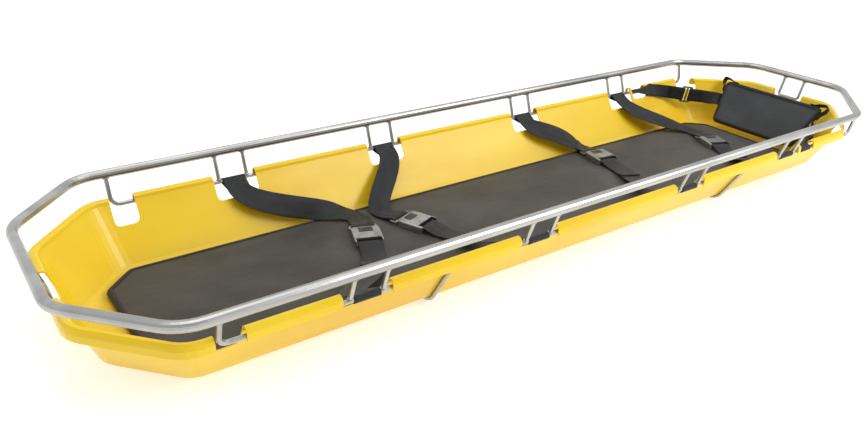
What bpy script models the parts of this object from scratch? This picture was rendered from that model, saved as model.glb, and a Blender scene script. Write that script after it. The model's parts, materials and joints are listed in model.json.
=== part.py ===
"""Basket stretcher: a moulded plastic shell hung in a steel tube frame, in metres.

+X points to the foot end, +Z up. The ground is z = 0 and y = 0 is the long middle plane.
"left" and "right" are those of the patient, who lies face up: left is +Y.
"""
import bpy
import bmesh
from math import atan2, cos, hypot, pi, radians, sin, tan
from mathutils import Matrix, Vector

NAME = "basket_stretcher"

# Overall size and the gap between pieces that touch
LENGTH = 2.134
WIDTH = 0.610
HEIGHT = 0.1905
GAP = 0.0003

# Top rail: one tube bent round an eight-sided plan
RAIL_DIA = 0.0190
RAIL_BEND = 0.080
HEAD_CUT_X, HEAD_CUT_Y = 0.137, 0.153
FOOT_CUT_X, FOOT_CUT_Y = 0.196, 0.154

# Places along the stretcher are measured from the middle of the rail's tube at the head end
# or at the foot end, and places across it are insets from the rail's long sides.

# Lower rods, their posts and the cross hoops
ROD_DIA = 0.009
ROD_DROP = 0.060
ROD_INSET = 0.0205
ROD_BEND = 0.016
POST_DIA = 0.0085
POST_SPACING = 0.062
HEAD_LEG_FROM_HEAD = 0.1925
FOOT_LEG_FROM_FOOT = 0.1875
HOOP_DIA = 0.008
HOOP_FROM_HEAD = 0.6275
HOOP_FROM_FOOT = 0.6075
HOOP_KNEE = 0.018

# Shell: wall, rolled rim, draft, floor and the runners under it
WALL = 0.003
ROLL_RADIUS = 0.0095
ROLL_INSET = 0.022
ROLL_Z = 0.1285
SKIRT_DROP = 0.0125
FLOOR_Z = 0.0085
FLOOR_SIDE = 0.1185
FLOOR_HEAD = 0.0915
FLOOR_FOOT = 0.0955
FLOOR_HEAD_CORNER = 0.113
FLOOR_FOOT_CORNER = 0.102
FLOOR_RADIUS = 0.030
FLOOR_BEND = 0.030
RUNNER_SIDE = 0.1855
RUNNER_WIDTH = 0.030
RUNNER_FROM_ENDS = 0.2175
RUNNER_BREAK = 0.022
RUNNER_BEVEL = 0.0038

# Notches in the rim: hand holds at the posts, and clearance at legs and foot straps
NOTCH_WIDTH = 0.094
NOTCH_Z = 0.092
NOTCH_RADIUS = 0.010
NOTCH_DEPTH = 0.095
END_NOTCH_DEPTH = 0.050
HEAD_NOTCH_WIDTH = 0.048
HEAD_NOTCH_Z = 0.088
HEAD_NOTCH_SHIFT = 0.018
LEG_NOTCH_WIDTH = 0.056
LEG_NOTCH_Z = 0.106

# Mattress pad
PAD_THICK = 0.0145
PAD_CROWN = 0.0012
PAD_EDGE = 0.006
PAD_OVER_CORNER = 0.006
PAD_HEAD_GAP = 0.036
PAD_FOOT_GAP = 0.107
PAD_HEAD_CUT = 0.057
PAD_FOOT_CUT = 0.045
PAD_CORNER = 0.018

# Restraint webbing and its stations along the stretcher
WEB_WIDTH = 0.050
WEB_THICK = 0.0018
WEB_LIFT = 0.0006
CHEST_FROM_HEAD = 0.4425
SHIN_FROM_FOOT = 0.4775
STATION_SPACING = 0.375
# Buckle centre: along from its station, and across from the middle plane
BUCKLE_ALONG = {"chest": 0.191, "waist": -0.056, "thigh": 0.140, "shin": 0.135}
BUCKLE_ACROSS = {"chest": 0.040, "waist": 0.040, "thigh": 0.100, "shin": 0.010}
# Heading from the housing to the tongue
BUCKLE_DEGREES = {"chest": 70.0, "waist": 112.0, "thigh": 82.0, "shin": 68.0}
TAIL_LENGTH = {"left": 0.050, "right": 0.110}
LOOP_RUN = 0.034
LOOP_RAMP = 0.010
# Hung webbing: its fall from the rod, and how far past the floor's edge it may lie level
WEB_FALL_DEGREES = 30.0
WEB_LEVEL_PAST = 0.019
WEB_STEPS = 14
SEWN_LENGTH = 0.026
SEWN_BACK = 0.004
ROD_PULL_SHARE, BUCKLE_PULL_SHARE = 0.18, 0.30

# Push-button buckle
HOUSING_LENGTH = 0.066
HOUSING_WIDTH = 0.062
HOUSING_HEIGHT = 0.016
HOUSING_CORNER = 0.007
HOUSING_EDGE = 0.0025
HOUSING_SKIN = 0.0013
BAR = 0.006
REAR_BAR_THICK = 0.004
SLOT = 0.008
SLOT_SIDE = 0.002
BLADE_WIDTH = 0.024
BLADE_THICK = 0.0025
BLADE_REACH = 0.026
BLADE_Z = 0.0060
BLADE_NOSE = 0.004
WINDOW = 0.009
TONGUE_HEAD = 0.020
TONGUE_CORNER = 0.006
TONGUE_GAP = 0.0015
LATCH_THICK = 0.0010
LATCH_SHORT = 0.002
BUTTON_LENGTH = 0.019
BUTTON_WIDTH = 0.030
BUTTON_PROUD = 0.0008
BUTTON_EDGE = 0.0007
BUTTON_TRAVEL = 0.0025
FIT = 0.0004

# Footrest: a padded board on two adjustable straps
BOARD_THICK = 0.018
BOARD_FROM_FOOT = 0.1895
BOARD_Z = 0.0385
BOARD_LEAN = 0.080
BOARD_RISE = 0.1085
BOARD_TOP_GAP = 0.0295
BOARD_TAPER = 0.026
BOARD_CORNER = 0.014
BOARD_CROWN = 0.002
BOARD_EDGE = 0.004
STRAP_WIDTH = 0.038
STRAP_FROM_FOOT = 0.3925
STRAP_START = (0.055, -0.021, 0.002)
STRAP_GATE = (0.008, -0.012, 0.0085)
STRAP_INSIDE = (-0.018, 0.0012, 0.004)
STRAP_HEIGHT = 0.070
STRAP_BACK = 0.060
STRAP_NOTCH_WIDTH = 0.058
ADJUSTER_SHARE = 0.50
ADJUSTER_LENGTH = 0.034
ADJUSTER_SIDE = 0.006
ADJUSTER_THICK = 0.0026
ADJUSTER_CORNER = 0.004
LOOP_WIDTH = 0.020
# Along a corner loop: out from the board's side, and above the board's top edge
LOOP_OUT = [0.0012, 0.0022, 0.010, 0.006, -0.014, -0.026, -0.040]
LOOP_UP = [-0.035, -0.0215, -0.0067, 0.0081, 0.0067, 0.0012, 0.0012]

RAIL_R = RAIL_DIA / 2
ROD_R = ROD_DIA / 2
HALF_X = LENGTH / 2 - RAIL_R
HALF_Y = WIDTH / 2 - RAIL_R
RAIL_Z = HEIGHT - RAIL_R
ROD_Z = RAIL_Z - ROD_DROP
ROD_Y = HALF_Y - ROD_INSET
HEAD_LEG_X = HEAD_LEG_FROM_HEAD - HALF_X
FOOT_LEG_X = HALF_X - FOOT_LEG_FROM_FOOT
HOOP_X = {"hoop_head": HOOP_FROM_HEAD - HALF_X, "hoop_foot": HALF_X - HOOP_FROM_FOOT}
CHEST_X = CHEST_FROM_HEAD - HALF_X
SHIN_X = HALF_X - SHIN_FROM_FOOT
STATIONS = {
    "chest": CHEST_X,
    "waist": CHEST_X + STATION_SPACING,
    "thigh": SHIN_X - STATION_SPACING,
    "shin": SHIN_X,
}
FLOOR_HALF = HALF_Y - FLOOR_SIDE
RUNNER_Y = HALF_Y - RUNNER_SIDE
RUNNER_HALF = HALF_X - RUNNER_FROM_ENDS
FLOOR_TOP = FLOOR_Z + WALL
RIM_INSET = ROLL_INSET + ROLL_RADIUS
PAD_TOP = FLOOR_TOP + GAP + PAD_THICK
PAD_HALF = FLOOR_HALF + PAD_OVER_CORNER
PAD_HEAD = HALF_X - FLOOR_HEAD - PAD_HEAD_GAP
PAD_FOOT = HALF_X - FLOOR_FOOT - PAD_FOOT_GAP
BOARD_X = HALF_X - BOARD_FROM_FOOT
STRAP_X = HALF_X - STRAP_FROM_FOOT
WEB_SEAT = WEB_LIFT + WEB_THICK / 2
BLADE_MID = BLADE_Z + BLADE_THICK / 2
TONGUE_FRONT = HOUSING_LENGTH / 2 + TONGUE_GAP
ADJUSTER_LOW = WEB_THICK + 2 * GAP + ADJUSTER_THICK / 2


def remove_all():
    for item in list(bpy.data.objects):
        bpy.data.objects.remove(item, do_unlink=True)


def new_collection(name):
    group = bpy.data.collections.new(name)
    bpy.context.scene.collection.children.link(group)
    return group


def new_material(name, colour, roughness, metallic=0.0):
    material = bpy.data.materials.new(name)
    material.use_nodes = True
    shader = material.node_tree.nodes["Principled BSDF"]
    shader.inputs["Base Color"].default_value = (*colour, 1.0)
    shader.inputs["Roughness"].default_value = roughness
    shader.inputs["Metallic"].default_value = metallic
    return material


remove_all()
PARTS = new_collection(NAME)
CUTTERS = new_collection("cutters")
MATERIALS = {
    "shell": new_material("yellow_polyethylene", (0.86, 0.60, 0.03), 0.38),
    "steel": new_material("satin_steel", (0.62, 0.62, 0.60), 0.32, 1.0),
    "pad": new_material("charcoal_vinyl", (0.055, 0.052, 0.048), 0.62),
    "web": new_material("black_webbing", (0.018, 0.020, 0.024), 0.72),
    "buckle": new_material("plated_steel", (0.45, 0.45, 0.44), 0.28, 1.0),
    "button": new_material("black_button", (0.012, 0.012, 0.013), 0.42),
}


def keep(obj, material, smooth=35.0):
    """Move an object into the part's collection and give it its material."""
    for group in list(obj.users_collection):
        group.objects.unlink(obj)
    PARTS.objects.link(obj)
    obj.data.materials.clear()
    obj.data.materials.append(MATERIALS[material])
    if obj.type == "MESH" and smooth:
        obj.data.shade_smooth()
        obj.data.set_sharp_from_angle(angle=radians(smooth))
    return obj


def mesh_object(name, bm):
    bmesh.ops.recalc_face_normals(bm, faces=bm.faces)
    mesh = bpy.data.meshes.new(name)
    bm.to_mesh(mesh)
    bm.free()
    obj = bpy.data.objects.new(name, mesh)
    bpy.context.scene.collection.objects.link(obj)
    return obj


def box(low, high):
    """A box primitive between two corners, as a bmesh."""
    bm = bmesh.new()
    size = [b - a for a, b in zip(low, high)]
    middle = [(a + b) / 2 for a, b in zip(low, high)]
    matrix = Matrix.Translation(middle) @ Matrix.Diagonal((*size, 1.0))
    bmesh.ops.create_cube(bm, size=1.0, matrix=matrix)
    return bm


def cutter(name, bm):
    obj = mesh_object(name, bm)
    bpy.context.scene.collection.objects.unlink(obj)
    CUTTERS.objects.link(obj)
    obj.hide_render = True
    obj.display_type = "WIRE"
    return obj


def boolean(obj, tool, operation="DIFFERENCE"):
    step = obj.modifiers.new(tool.name, "BOOLEAN")
    step.operation = operation
    step.solver = "EXACT"
    step.object = tool


def bevel_edges(bm, chosen, width, segments):
    bmesh.ops.bevel(bm, geom=chosen, offset=width, segments=segments, affect="EDGES", profile=0.5)


def upright_edges(bm):
    return [e for e in bm.edges if abs((e.verts[0].co - e.verts[1].co).z) > GAP]


# Plan outlines


def plan(side, head_corner, foot_corner, head, foot):
    """Corners of the eight-sided plan, its edges moved in from the rail's centre line."""
    lines = []
    for cut_x, cut_y, end, inset, corner in (
        (FOOT_CUT_X, FOOT_CUT_Y, 1, foot, foot_corner),
        (HEAD_CUT_X, HEAD_CUT_Y, -1, head, head_corner),
    ):
        slant = Vector((cut_y * end, cut_x)).normalized()
        reach = slant.dot(Vector((HALF_X * end, HALF_Y - cut_y)))
        lines.append((Vector((end, 0)), HALF_X - inset, slant, reach - corner))
    (foot_n, foot_d, foot_s, foot_r), (head_n, head_d, head_s, head_r) = lines
    wide = (Vector((0, 1)), HALF_Y - side)
    upper = [(foot_n, foot_d), (foot_s, foot_r), wide, (head_s, head_r), (head_n, head_d)]
    corners = [crossing(a, b) for a, b in zip(upper, upper[1:])]
    return corners + [Vector((p.x, -p.y)) for p in reversed(corners)]


def crossing(first, second):
    (n, d), (m, e) = first, second
    det = n.x * m.y - n.y * m.x
    return Vector(((d * m.y - e * n.y) / det, (n.x * e - m.x * d) / det))


def rounded(corners, radius, steps, closed=True):
    """Points of an outline or route whose corners are rounded by arcs; works in 2D and 3D."""
    points = []
    count = len(corners)
    for i, corner in enumerate(corners):
        if not closed and i in (0, count - 1):
            points.append(corner.copy())
            continue
        back = (corners[i - 1] - corner).normalized()
        ahead = (corners[(i + 1) % count] - corner).normalized()
        half = back.angle(ahead) / 2
        reach = radius / tan(half)
        centre = corner + (back + ahead).normalized() * (radius / sin(half))
        start, end = corner + back * reach - centre, corner + ahead * reach - centre
        sweep = pi - 2 * half
        for k in range(steps + 1):
            t = k / steps
            points.append(
                centre + (start * sin((1 - t) * sweep) + end * sin(t * sweep)) / sin(sweep)
            )
    return points


def tube(name, points, diameter, sides, closed=False, material="steel"):
    """A bent tube or rod: a poly curve with a round bevel and filled ends."""
    curve = bpy.data.curves.new(name, "CURVE")
    curve.dimensions = "3D"
    curve.bevel_depth = diameter / 2
    curve.bevel_resolution = sides // 2 - 2
    curve.use_fill_caps = not closed
    spline = curve.splines.new("POLY")
    spline.points.add(len(points) - 1)
    for target, point in zip(spline.points, points):
        target.co = (*point, 1.0)
    spline.use_cyclic_u = closed
    spline.use_smooth = True
    obj = bpy.data.objects.new(name, curve)
    bpy.context.scene.collection.objects.link(obj)
    return keep(obj, material)


def post(name, top, bottom):
    """A straight round bar between two points."""
    span = Vector(top) - Vector(bottom)
    bpy.ops.mesh.primitive_cylinder_add(
        vertices=12, radius=POST_DIA / 2, depth=span.length, end_fill_type="NGON"
    )
    obj = bpy.context.active_object
    obj.name = obj.data.name = name
    turn = span.to_track_quat("Z", "Y").to_matrix().to_4x4()
    obj.matrix_world = Matrix.Translation((Vector(top) + Vector(bottom)) / 2) @ turn
    return keep(obj, "steel")


# Frame


def rail_outline():
    return rounded(plan(0, 0, 0, 0, 0), RAIL_BEND, 6)


def rail_at(x):
    """The rail's centre line on the left side at x: its y and how far it turns off the X axis."""
    outline = [p for p in rail_outline() if p.y > 0]
    for a, b in zip(outline, outline[1:]):
        if min(a.x, b.x) <= x <= max(a.x, b.x) and a.x != b.x:
            t = (x - a.x) / (b.x - a.x)
            return a.y + (b.y - a.y) * t, atan2(abs(b.y - a.y), abs(b.x - a.x))
    return HALF_Y, 0.0


def make_top_rail():
    points = [(p.x, p.y, RAIL_Z) for p in rail_outline()]
    tube("top_rail", points, RAIL_DIA, 14, closed=True)


def make_lower_rod(side):
    """A long rod under the rim whose two ends turn up to the top rail."""
    sign = 1 if side == "left" else -1
    head, foot = leg_top(HEAD_LEG_X), leg_top(FOOT_LEG_X)
    route = [
        Vector((HEAD_LEG_X, head.x * sign, head.y)),
        Vector((HEAD_LEG_X, ROD_Y * sign, ROD_Z)),
        Vector((FOOT_LEG_X, ROD_Y * sign, ROD_Z)),
        Vector((FOOT_LEG_X, foot.x * sign, foot.y)),
    ]
    tube(f"lower_rod_{side}", rounded(route, ROD_BEND, 4, closed=False), ROD_DIA, 10)


def leg_top(x):
    """Where a leg from the lower rod ends, just clear of the rail above it, as (y, z)."""
    rail_y, turn = rail_at(x)
    leg = Vector((rail_y - ROD_Y, ROD_DROP))
    tilt = abs(sin(turn) * leg.normalized().x)
    return Vector((ROD_Y, ROD_Z)) + leg * (1 - (RAIL_R + GAP + ROD_R * tilt) / leg.length)


def make_posts(side):
    sign = 1 if side == "left" else -1
    lean = Vector((ROD_INSET, ROD_DROP)).normalized()
    foot = Vector((ROD_Y, ROD_Z)) + lean * (ROD_R + GAP)
    for station, centre in STATIONS.items():
        for end, x in (("head", centre - POST_SPACING / 2), ("foot", centre + POST_SPACING / 2)):
            top = leg_top(x)
            name = f"{station}_post_{end}_{side}"
            post(name, (x, top.x * sign, top.y), (x, foot.x * sign, foot.y))


def make_end_bracket(name, end):
    """A bent rod under the middle of an end of the rail: two legs and a bar to grip."""
    half = POST_SPACING / 2
    lean = Vector((ROD_INSET, ROD_DROP)).normalized()
    reach = hypot(ROD_INSET, ROD_DROP) - RAIL_R - GAP
    inner = (HALF_X - ROD_INSET) * end
    outer = (HALF_X - ROD_INSET + lean.x * reach) * end
    route = [
        Vector((outer, -half, ROD_Z + lean.y * reach)),
        Vector((inner, -half, ROD_Z)),
        Vector((inner, half, ROD_Z)),
        Vector((outer, half, ROD_Z + lean.y * reach)),
    ]
    tube(name, rounded(route, ROD_BEND / 2, 3, closed=False), ROD_DIA, 10)


def make_hoop(name, x):
    """A cross rod from one lower rod down the outside of the shell and under its floor."""
    off = WALL + GAP + HOOP_DIA / 2
    slope = wall_slope()
    along = Vector((slope, 1.0)).normalized()
    out = Vector((along.y, -along.x))
    base = Vector(arc_point(FLOOR_ARC[-1])) + out * off
    high = base + along * ((ROD_Z - HOOP_KNEE - base.y) / along.y)
    towards = (Vector((ROD_Y, ROD_Z)) - high).normalized()
    tip = Vector((ROD_Y, ROD_Z)) - towards * (ROD_R + GAP)
    centre = Vector((FLOOR_HALF, FLOOR_TOP + FLOOR_RADIUS))
    radius = FLOOR_RADIUS + off
    side = [tip, high, base]
    side += [
        centre + Vector((sin(a), -cos(a))) * radius
        for a in (radians(d) for d in (36, 24, 12))
    ]
    side.append(Vector((FLOOR_HALF, HOOP_DIA / 2)))
    points = [Vector((x, p.x, p.y)) for p in side]
    points += [Vector((x, -p.x, p.y)) for p in reversed(side)]
    tube(name, points, HOOP_DIA, 8)


# Shell

FLOOR_ARC = [radians(d) for d in (0, 18, 36, 52)]


def arc_point(angle):
    """Inner face of the shell's lower corner on a long side, as (y, z)."""
    return FLOOR_HALF + FLOOR_RADIUS * sin(angle), FLOOR_TOP + FLOOR_RADIUS * (1 - cos(angle))


def wall_slope():
    """How far the side wall leans out for each metre that it rises."""
    y, z = arc_point(FLOOR_ARC[-1])
    return (HALF_Y - RIM_INSET - y) / (ROLL_Z - z)


def shell_rings():
    """Rings of the inner face from the floor up, over the rolled rim and down its skirt."""
    rings = []
    for angle in FLOOR_ARC:
        out = FLOOR_RADIUS * sin(angle)
        z = arc_point(angle)[1]
        floor = (FLOOR_SIDE, FLOOR_HEAD_CORNER, FLOOR_FOOT_CORNER, FLOOR_HEAD, FLOOR_FOOT)
        insets = [inset - out for inset in floor]
        rings.append((insets, z, FLOOR_BEND + out))
    for angle in (radians(d) for d in (0, 36, 72, 108, 144, 180)):
        inset = ROLL_INSET + ROLL_RADIUS * cos(angle)
        rings.append(((inset,) * 5, ROLL_Z + ROLL_RADIUS * sin(angle), RAIL_BEND - inset))
    inset = ROLL_INSET - ROLL_RADIUS
    rings.append(((inset,) * 5, ROLL_Z - SKIRT_DROP, RAIL_BEND - inset))
    return rings


def make_shell():
    bm = bmesh.new()
    loops = []
    for insets, z, radius in shell_rings():
        outline = rounded(plan(*insets), radius, 4)
        loops.append([bm.verts.new((p.x, p.y, z)) for p in outline])
    bm.faces.new(loops[0])
    for low, high in zip(loops, loops[1:]):
        for i in range(len(low)):
            j = (i + 1) % len(low)
            bm.faces.new((low[i], low[j], high[j], high[i]))
    obj = mesh_object("shell", bm)
    if obj.data.polygons[0].normal.z < 0:
        obj.data.flip_normals()
    thick = obj.modifiers.new("wall", "SOLIDIFY")
    thick.thickness = WALL
    thick.offset = -1.0
    thick.use_even_offset = True
    for index, low, high in runner_boxes():
        boolean(obj, cutter(f"runner_{index}", runner(low, high)), "UNION")
    for name, bm in notch_cutters():
        boolean(obj, cutter(name, bm))
    keep(obj, "shell")


def runner_boxes():
    """Ends of the runners, which stop short of each cross hoop."""
    stops = [-RUNNER_HALF]
    for x in HOOP_X.values():
        stops += [x - RUNNER_BREAK / 2, x + RUNNER_BREAK / 2]
    stops.append(RUNNER_HALF)
    index = 0
    for y in (-RUNNER_Y, RUNNER_Y):
        for start, end in zip(stops[::2], stops[1::2]):
            low = (start, y - RUNNER_WIDTH / 2, 0.0)
            yield index, low, (end, y + RUNNER_WIDTH / 2, FLOOR_Z + WALL / 3)
            index += 1


def runner(low, high):
    bm = box(low, high)
    lower = [e for e in bm.edges if all(v.co.z < FLOOR_Z / 2 for v in e.verts)]
    bevel_edges(bm, lower, RUNNER_BEVEL, 1)
    return bm


def notch(low, high, run):
    """A slot through the rim with rounded lower corners; run is the axis that it cuts along."""
    bm = box(low, high)
    lower = [
        e for e in bm.edges
        if all(v.co.z < low[2] + GAP for v in e.verts)
        and abs((e.verts[0].co - e.verts[1].co)[run]) > GAP
    ]
    bevel_edges(bm, lower, NOTCH_RADIUS, 3)
    return bm


def notch_cutters():
    top = ROLL_Z + 2 * ROLL_RADIUS
    places = [(x, NOTCH_WIDTH, NOTCH_Z) for x in STATIONS.values()]
    places.append((STRAP_X, STRAP_NOTCH_WIDTH, LEG_NOTCH_Z))
    places.append((HEAD_LEG_X + HEAD_NOTCH_SHIFT, HEAD_NOTCH_WIDTH, HEAD_NOTCH_Z))
    places.append((FOOT_LEG_X - ROD_R, LEG_NOTCH_WIDTH, LEG_NOTCH_Z))
    inner, outer = HALF_Y - NOTCH_DEPTH, HALF_Y
    for index, (x, width, z) in enumerate(places):
        for sign in (-1, 1):
            near, far = sorted((inner * sign, outer * sign))
            low, high = (x - width / 2, near, z), (x + width / 2, far, top)
            yield f"notch_{index}_{'left' if sign > 0 else 'right'}", notch(low, high, 1)
    for end, name in ((-1, "notch_head"), (1, "notch_foot")):
        near, far = sorted(((HALF_X - END_NOTCH_DEPTH) * end, HALF_X * end))
        low, high = (near, -NOTCH_WIDTH / 2, LEG_NOTCH_Z), (far, NOTCH_WIDTH / 2, top)
        yield name, notch(low, high, 0)


# Padded pieces


def padded(name, outline, thick, crown, edge, material):
    """A pad on z = 0: sides drawn in above and below, rounded edges and a crowned top."""
    middle = sum(outline, Vector((0, 0))) / len(outline)
    sides = [
        (edge * 1.1, 0.0),
        (edge * 0.3, thick * 0.25),
        (0.0, thick * 0.50),
        (edge * 0.4, thick * 0.82),
        (edge * 1.4, thick - crown),
    ]
    rings = [([moved_in(p, middle, outline, i, inset) for i, p in enumerate(outline)], z)
             for inset, z in sides]
    for share, z in ((0.72, thick - crown * 0.3), (0.40, thick)):
        rings.append(([middle + (p - middle) * share for p in outline], z))
    bm = bmesh.new()
    loops = [[bm.verts.new((*p, z)) for p in ring] for ring, z in rings]
    bm.faces.new(list(reversed(loops[0])))
    for low, high in zip(loops, loops[1:]):
        for i in range(len(low)):
            j = (i + 1) % len(low)
            bm.faces.new((low[i], low[j], high[j], high[i]))
    bm.faces.new(loops[-1])
    return keep(mesh_object(name, bm), material)


def moved_in(point, middle, outline, i, inset):
    """An outline's point moved in square to the outline's run there."""
    run = outline[(i + 1) % len(outline)] - outline[i - 1]
    inward = Vector((-run.y, run.x)).normalized()
    if inward.dot(middle - point) < 0:
        inward.negate()
    return point + inward * inset


def make_pad():
    half = PAD_HALF
    upper = [
        Vector((PAD_FOOT, half - PAD_FOOT_CUT)), Vector((PAD_FOOT - PAD_FOOT_CUT, half)),
        Vector((PAD_HEAD_CUT - PAD_HEAD, half)), Vector((-PAD_HEAD, half - PAD_HEAD_CUT)),
    ]
    lower = [Vector((p.x, -p.y)) for p in reversed(upper)]
    outline = rounded(upper + lower, PAD_CORNER, 3)
    pad = padded("mattress_pad", outline, PAD_THICK, PAD_CROWN, PAD_EDGE, "pad")
    pad.location = (0, 0, FLOOR_TOP + GAP)


def board_frame():
    """Matrix of the footrest: x across, y up the board, z towards the patient."""
    up = Vector((BOARD_LEAN, 0, BOARD_RISE)).normalized()
    across = Vector((0, -1, 0))
    face = across.cross(up)
    matrix = Matrix((across, up, face)).transposed().to_4x4()
    matrix.translation = (BOARD_X, 0, BOARD_Z)
    return matrix


def board_length():
    return hypot(BOARD_LEAN, BOARD_RISE)


def rim_half(x):
    """Half width inside the rolled rim at x, in the slanted corner of the foot end."""
    slant = Vector((FOOT_CUT_Y, FOOT_CUT_X)).normalized()
    reach = slant.dot(Vector((HALF_X, HALF_Y - FOOT_CUT_Y))) - RIM_INSET
    return min(HALF_Y - RIM_INSET, (reach - slant.x * x) / slant.y)


def board_half(height):
    """Half width of the footrest at a height up the board."""
    top_half = rim_half(BOARD_X + BOARD_LEAN) - BOARD_TOP_GAP
    return top_half - BOARD_TAPER * (1 - height / board_length())


def make_board():
    top = board_length()
    corners = [
        Vector((-board_half(0), 0)), Vector((board_half(0), 0)),
        Vector((board_half(top), top)), Vector((-board_half(top), top)),
    ]
    outline = rounded(corners, BOARD_CORNER, 4)
    board = padded("footrest_board", outline, BOARD_THICK, BOARD_CROWN, BOARD_EDGE, "pad")
    board.matrix_world = board_frame() @ Matrix.Translation((0, 0, -BOARD_THICK))


# Webbing


def ribbon(name, frames, width):
    """Flat webbing along frames, each a centre and the direction across."""
    rows = []
    for point, across in frames:
        half = across.normalized() * width / 2
        rows.append((point - half, point, point + half))
    return strip(name, rows)


def strip(name, rows):
    """Webbing of even thickness through rows of points, each from edge to edge."""
    bm = bmesh.new()
    lines = [[bm.verts.new(point) for point in row] for row in rows]
    for back, ahead in zip(lines, lines[1:]):
        for i in range(len(back) - 1):
            bm.faces.new((back[i], back[i + 1], ahead[i + 1], ahead[i]))
    obj = mesh_object(name, bm)
    thick = obj.modifiers.new("thickness", "SOLIDIFY")
    thick.thickness = WEB_THICK
    thick.offset = 0.0
    thick.use_even_offset = True
    obj.modifiers.new("flat_faces", "TRIANGULATE")
    return keep(obj, "web")


def rod_rows(x, sign):
    """Rows of webbing from its sewn end, round a lower rod and off towards the pad."""
    fall = radians(WEB_FALL_DEGREES)
    run = Vector((0, -cos(fall) * sign, -sin(fall)))
    out = Vector((0, -sin(fall) * sign, cos(fall)))
    rod = Vector((x, ROD_Y * sign, ROD_Z))
    turn = ROD_R + WEB_SEAT
    free = rod + out * turn + run * SEWN_LENGTH
    centres = [free - out * (WEB_THICK + 2 * GAP) - run * SEWN_BACK]
    centres += [
        rod + (out * cos(a) - run * sin(a)) * turn for a in (radians(d) for d in range(210, -1, -30))
    ]
    half = Vector((WEB_WIDTH / 2 * sign, 0, 0))
    return [(c - half, c, c + half) for c in centres + [free]], run


def hung_rows(first, leaving, last, arriving, across, sign):
    """Rows of webbing in the air between its rod and its buckle.

    It turns from lying square to the rod to lying square to the buckle on the way.
    """
    reach = (last - first).length
    room = (FLOOR_HALF + WEB_LEVEL_PAST - abs(last.y)) / abs(arriving.y)
    pull = min(reach * BUCKLE_PULL_SHARE, room)
    curve = (first, first + leaving * reach * ROD_PULL_SHARE, last - arriving * pull, last)
    rows = []
    for k in range(1, WEB_STEPS + 1):
        t = k / WEB_STEPS
        run = bezier_run(curve, t)
        turn = t * t * (3 - 2 * t)
        square = Vector((sign, 0, 0)).lerp(across, turn)
        square -= run * square.dot(run)
        square.z *= 1 - turn
        half = square.normalized() * WEB_WIDTH / 2
        centre = bezier(curve, t)
        rows.append((centre - half, centre, centre + half))
    return rows


def bezier(points, t):
    a, b, c, d = points
    u = 1 - t
    return a * u**3 + b * 3 * u * u * t + c * 3 * u * t * t + d * t**3


def bezier_run(points, t):
    a, b, c, d = points
    u = 1 - t
    return ((b - a) * u * u + (c - b) * 2 * u * t + (d - c) * t * t).normalized()


def bar_loop(bar, run, up, across, low, thick, width, tail):
    """Frames of webbing that goes under a bar, round its far edge and back above itself.

    bar is the bar's centre, run points along the webbing towards it, low is the height of the
    webbing's mid face under the bar's centre where it lies flat.
    """
    turn = thick / 2 + GAP * 2 + WEB_THICK / 2
    edge = -width / 2 - WEB_THICK
    ramp = edge - LOOP_RAMP
    points = [(-LOOP_RUN, -low), (ramp, -(turn + low) / 2), (edge, -turn)]
    centre = width / 2 + GAP
    points += [
        (centre + turn * sin(a), -turn * cos(a))
        for a in (radians(d) for d in (0, 45, 90, 135, 180))
    ]
    rest = -low + WEB_THICK + 2 * GAP
    points += [(edge, turn), (ramp, (turn + rest) / 2), (-LOOP_RUN, rest), (-tail, rest)]
    return [(bar + run * u + up * w, across) for u, w in points]


def buckle_place(station):
    """A buckle's middle on the pad and its heading in radians."""
    x = STATIONS[station] + BUCKLE_ALONG[station]
    return x, BUCKLE_ACROSS[station], radians(BUCKLE_DEGREES[station])


def make_restraint(station):
    x, y, heading = buckle_place(station)
    ahead = Vector((cos(heading), sin(heading), 0))
    middle = Vector((x, y, PAD_TOP + BLADE_MID))
    up = Vector((0, 0, 1))
    low = BLADE_MID - WEB_SEAT
    bars = {"left": (tongue_bar_u(), BLADE_THICK), "right": (housing_bar_u(), REAR_BAR_THICK)}
    for side, sign in (("left", 1), ("right", -1)):
        u, thick = bars[side]
        run = -ahead * sign
        across = Vector((-run.y, run.x, 0))
        bar = middle + ahead * u
        loop = bar_loop(bar, run, up, across, low, thick, BAR, TAIL_LENGTH[side])
        rows, leaving = rod_rows(STATIONS[station], sign)
        rows += hung_rows(rows[-1][1], leaving, loop[0][0], run, across, sign)
        half = across * WEB_WIDTH / 2
        rows += [(point - half, point, point + half) for point, _ in loop[1:]]
        strip(f"{station}_webbing_{side}", rows)


# Buckles, in their own frame: x from housing to tongue, z up from the pad


def housing_bar_u():
    return -HOUSING_LENGTH / 2 + BAR / 2


def tongue_bar_u():
    return TONGUE_FRONT + TONGUE_HEAD - BAR / 2


def place_buckle(obj, station):
    x, y, heading = buckle_place(station)
    obj.matrix_world = Matrix.Translation((x, y, PAD_TOP)) @ Matrix.Rotation(heading, 4, "Z")


def button_middle():
    """Distance of the button's middle in front of the housing's middle."""
    return (HOUSING_LENGTH - BLADE_REACH - BLADE_NOSE) / 2


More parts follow.
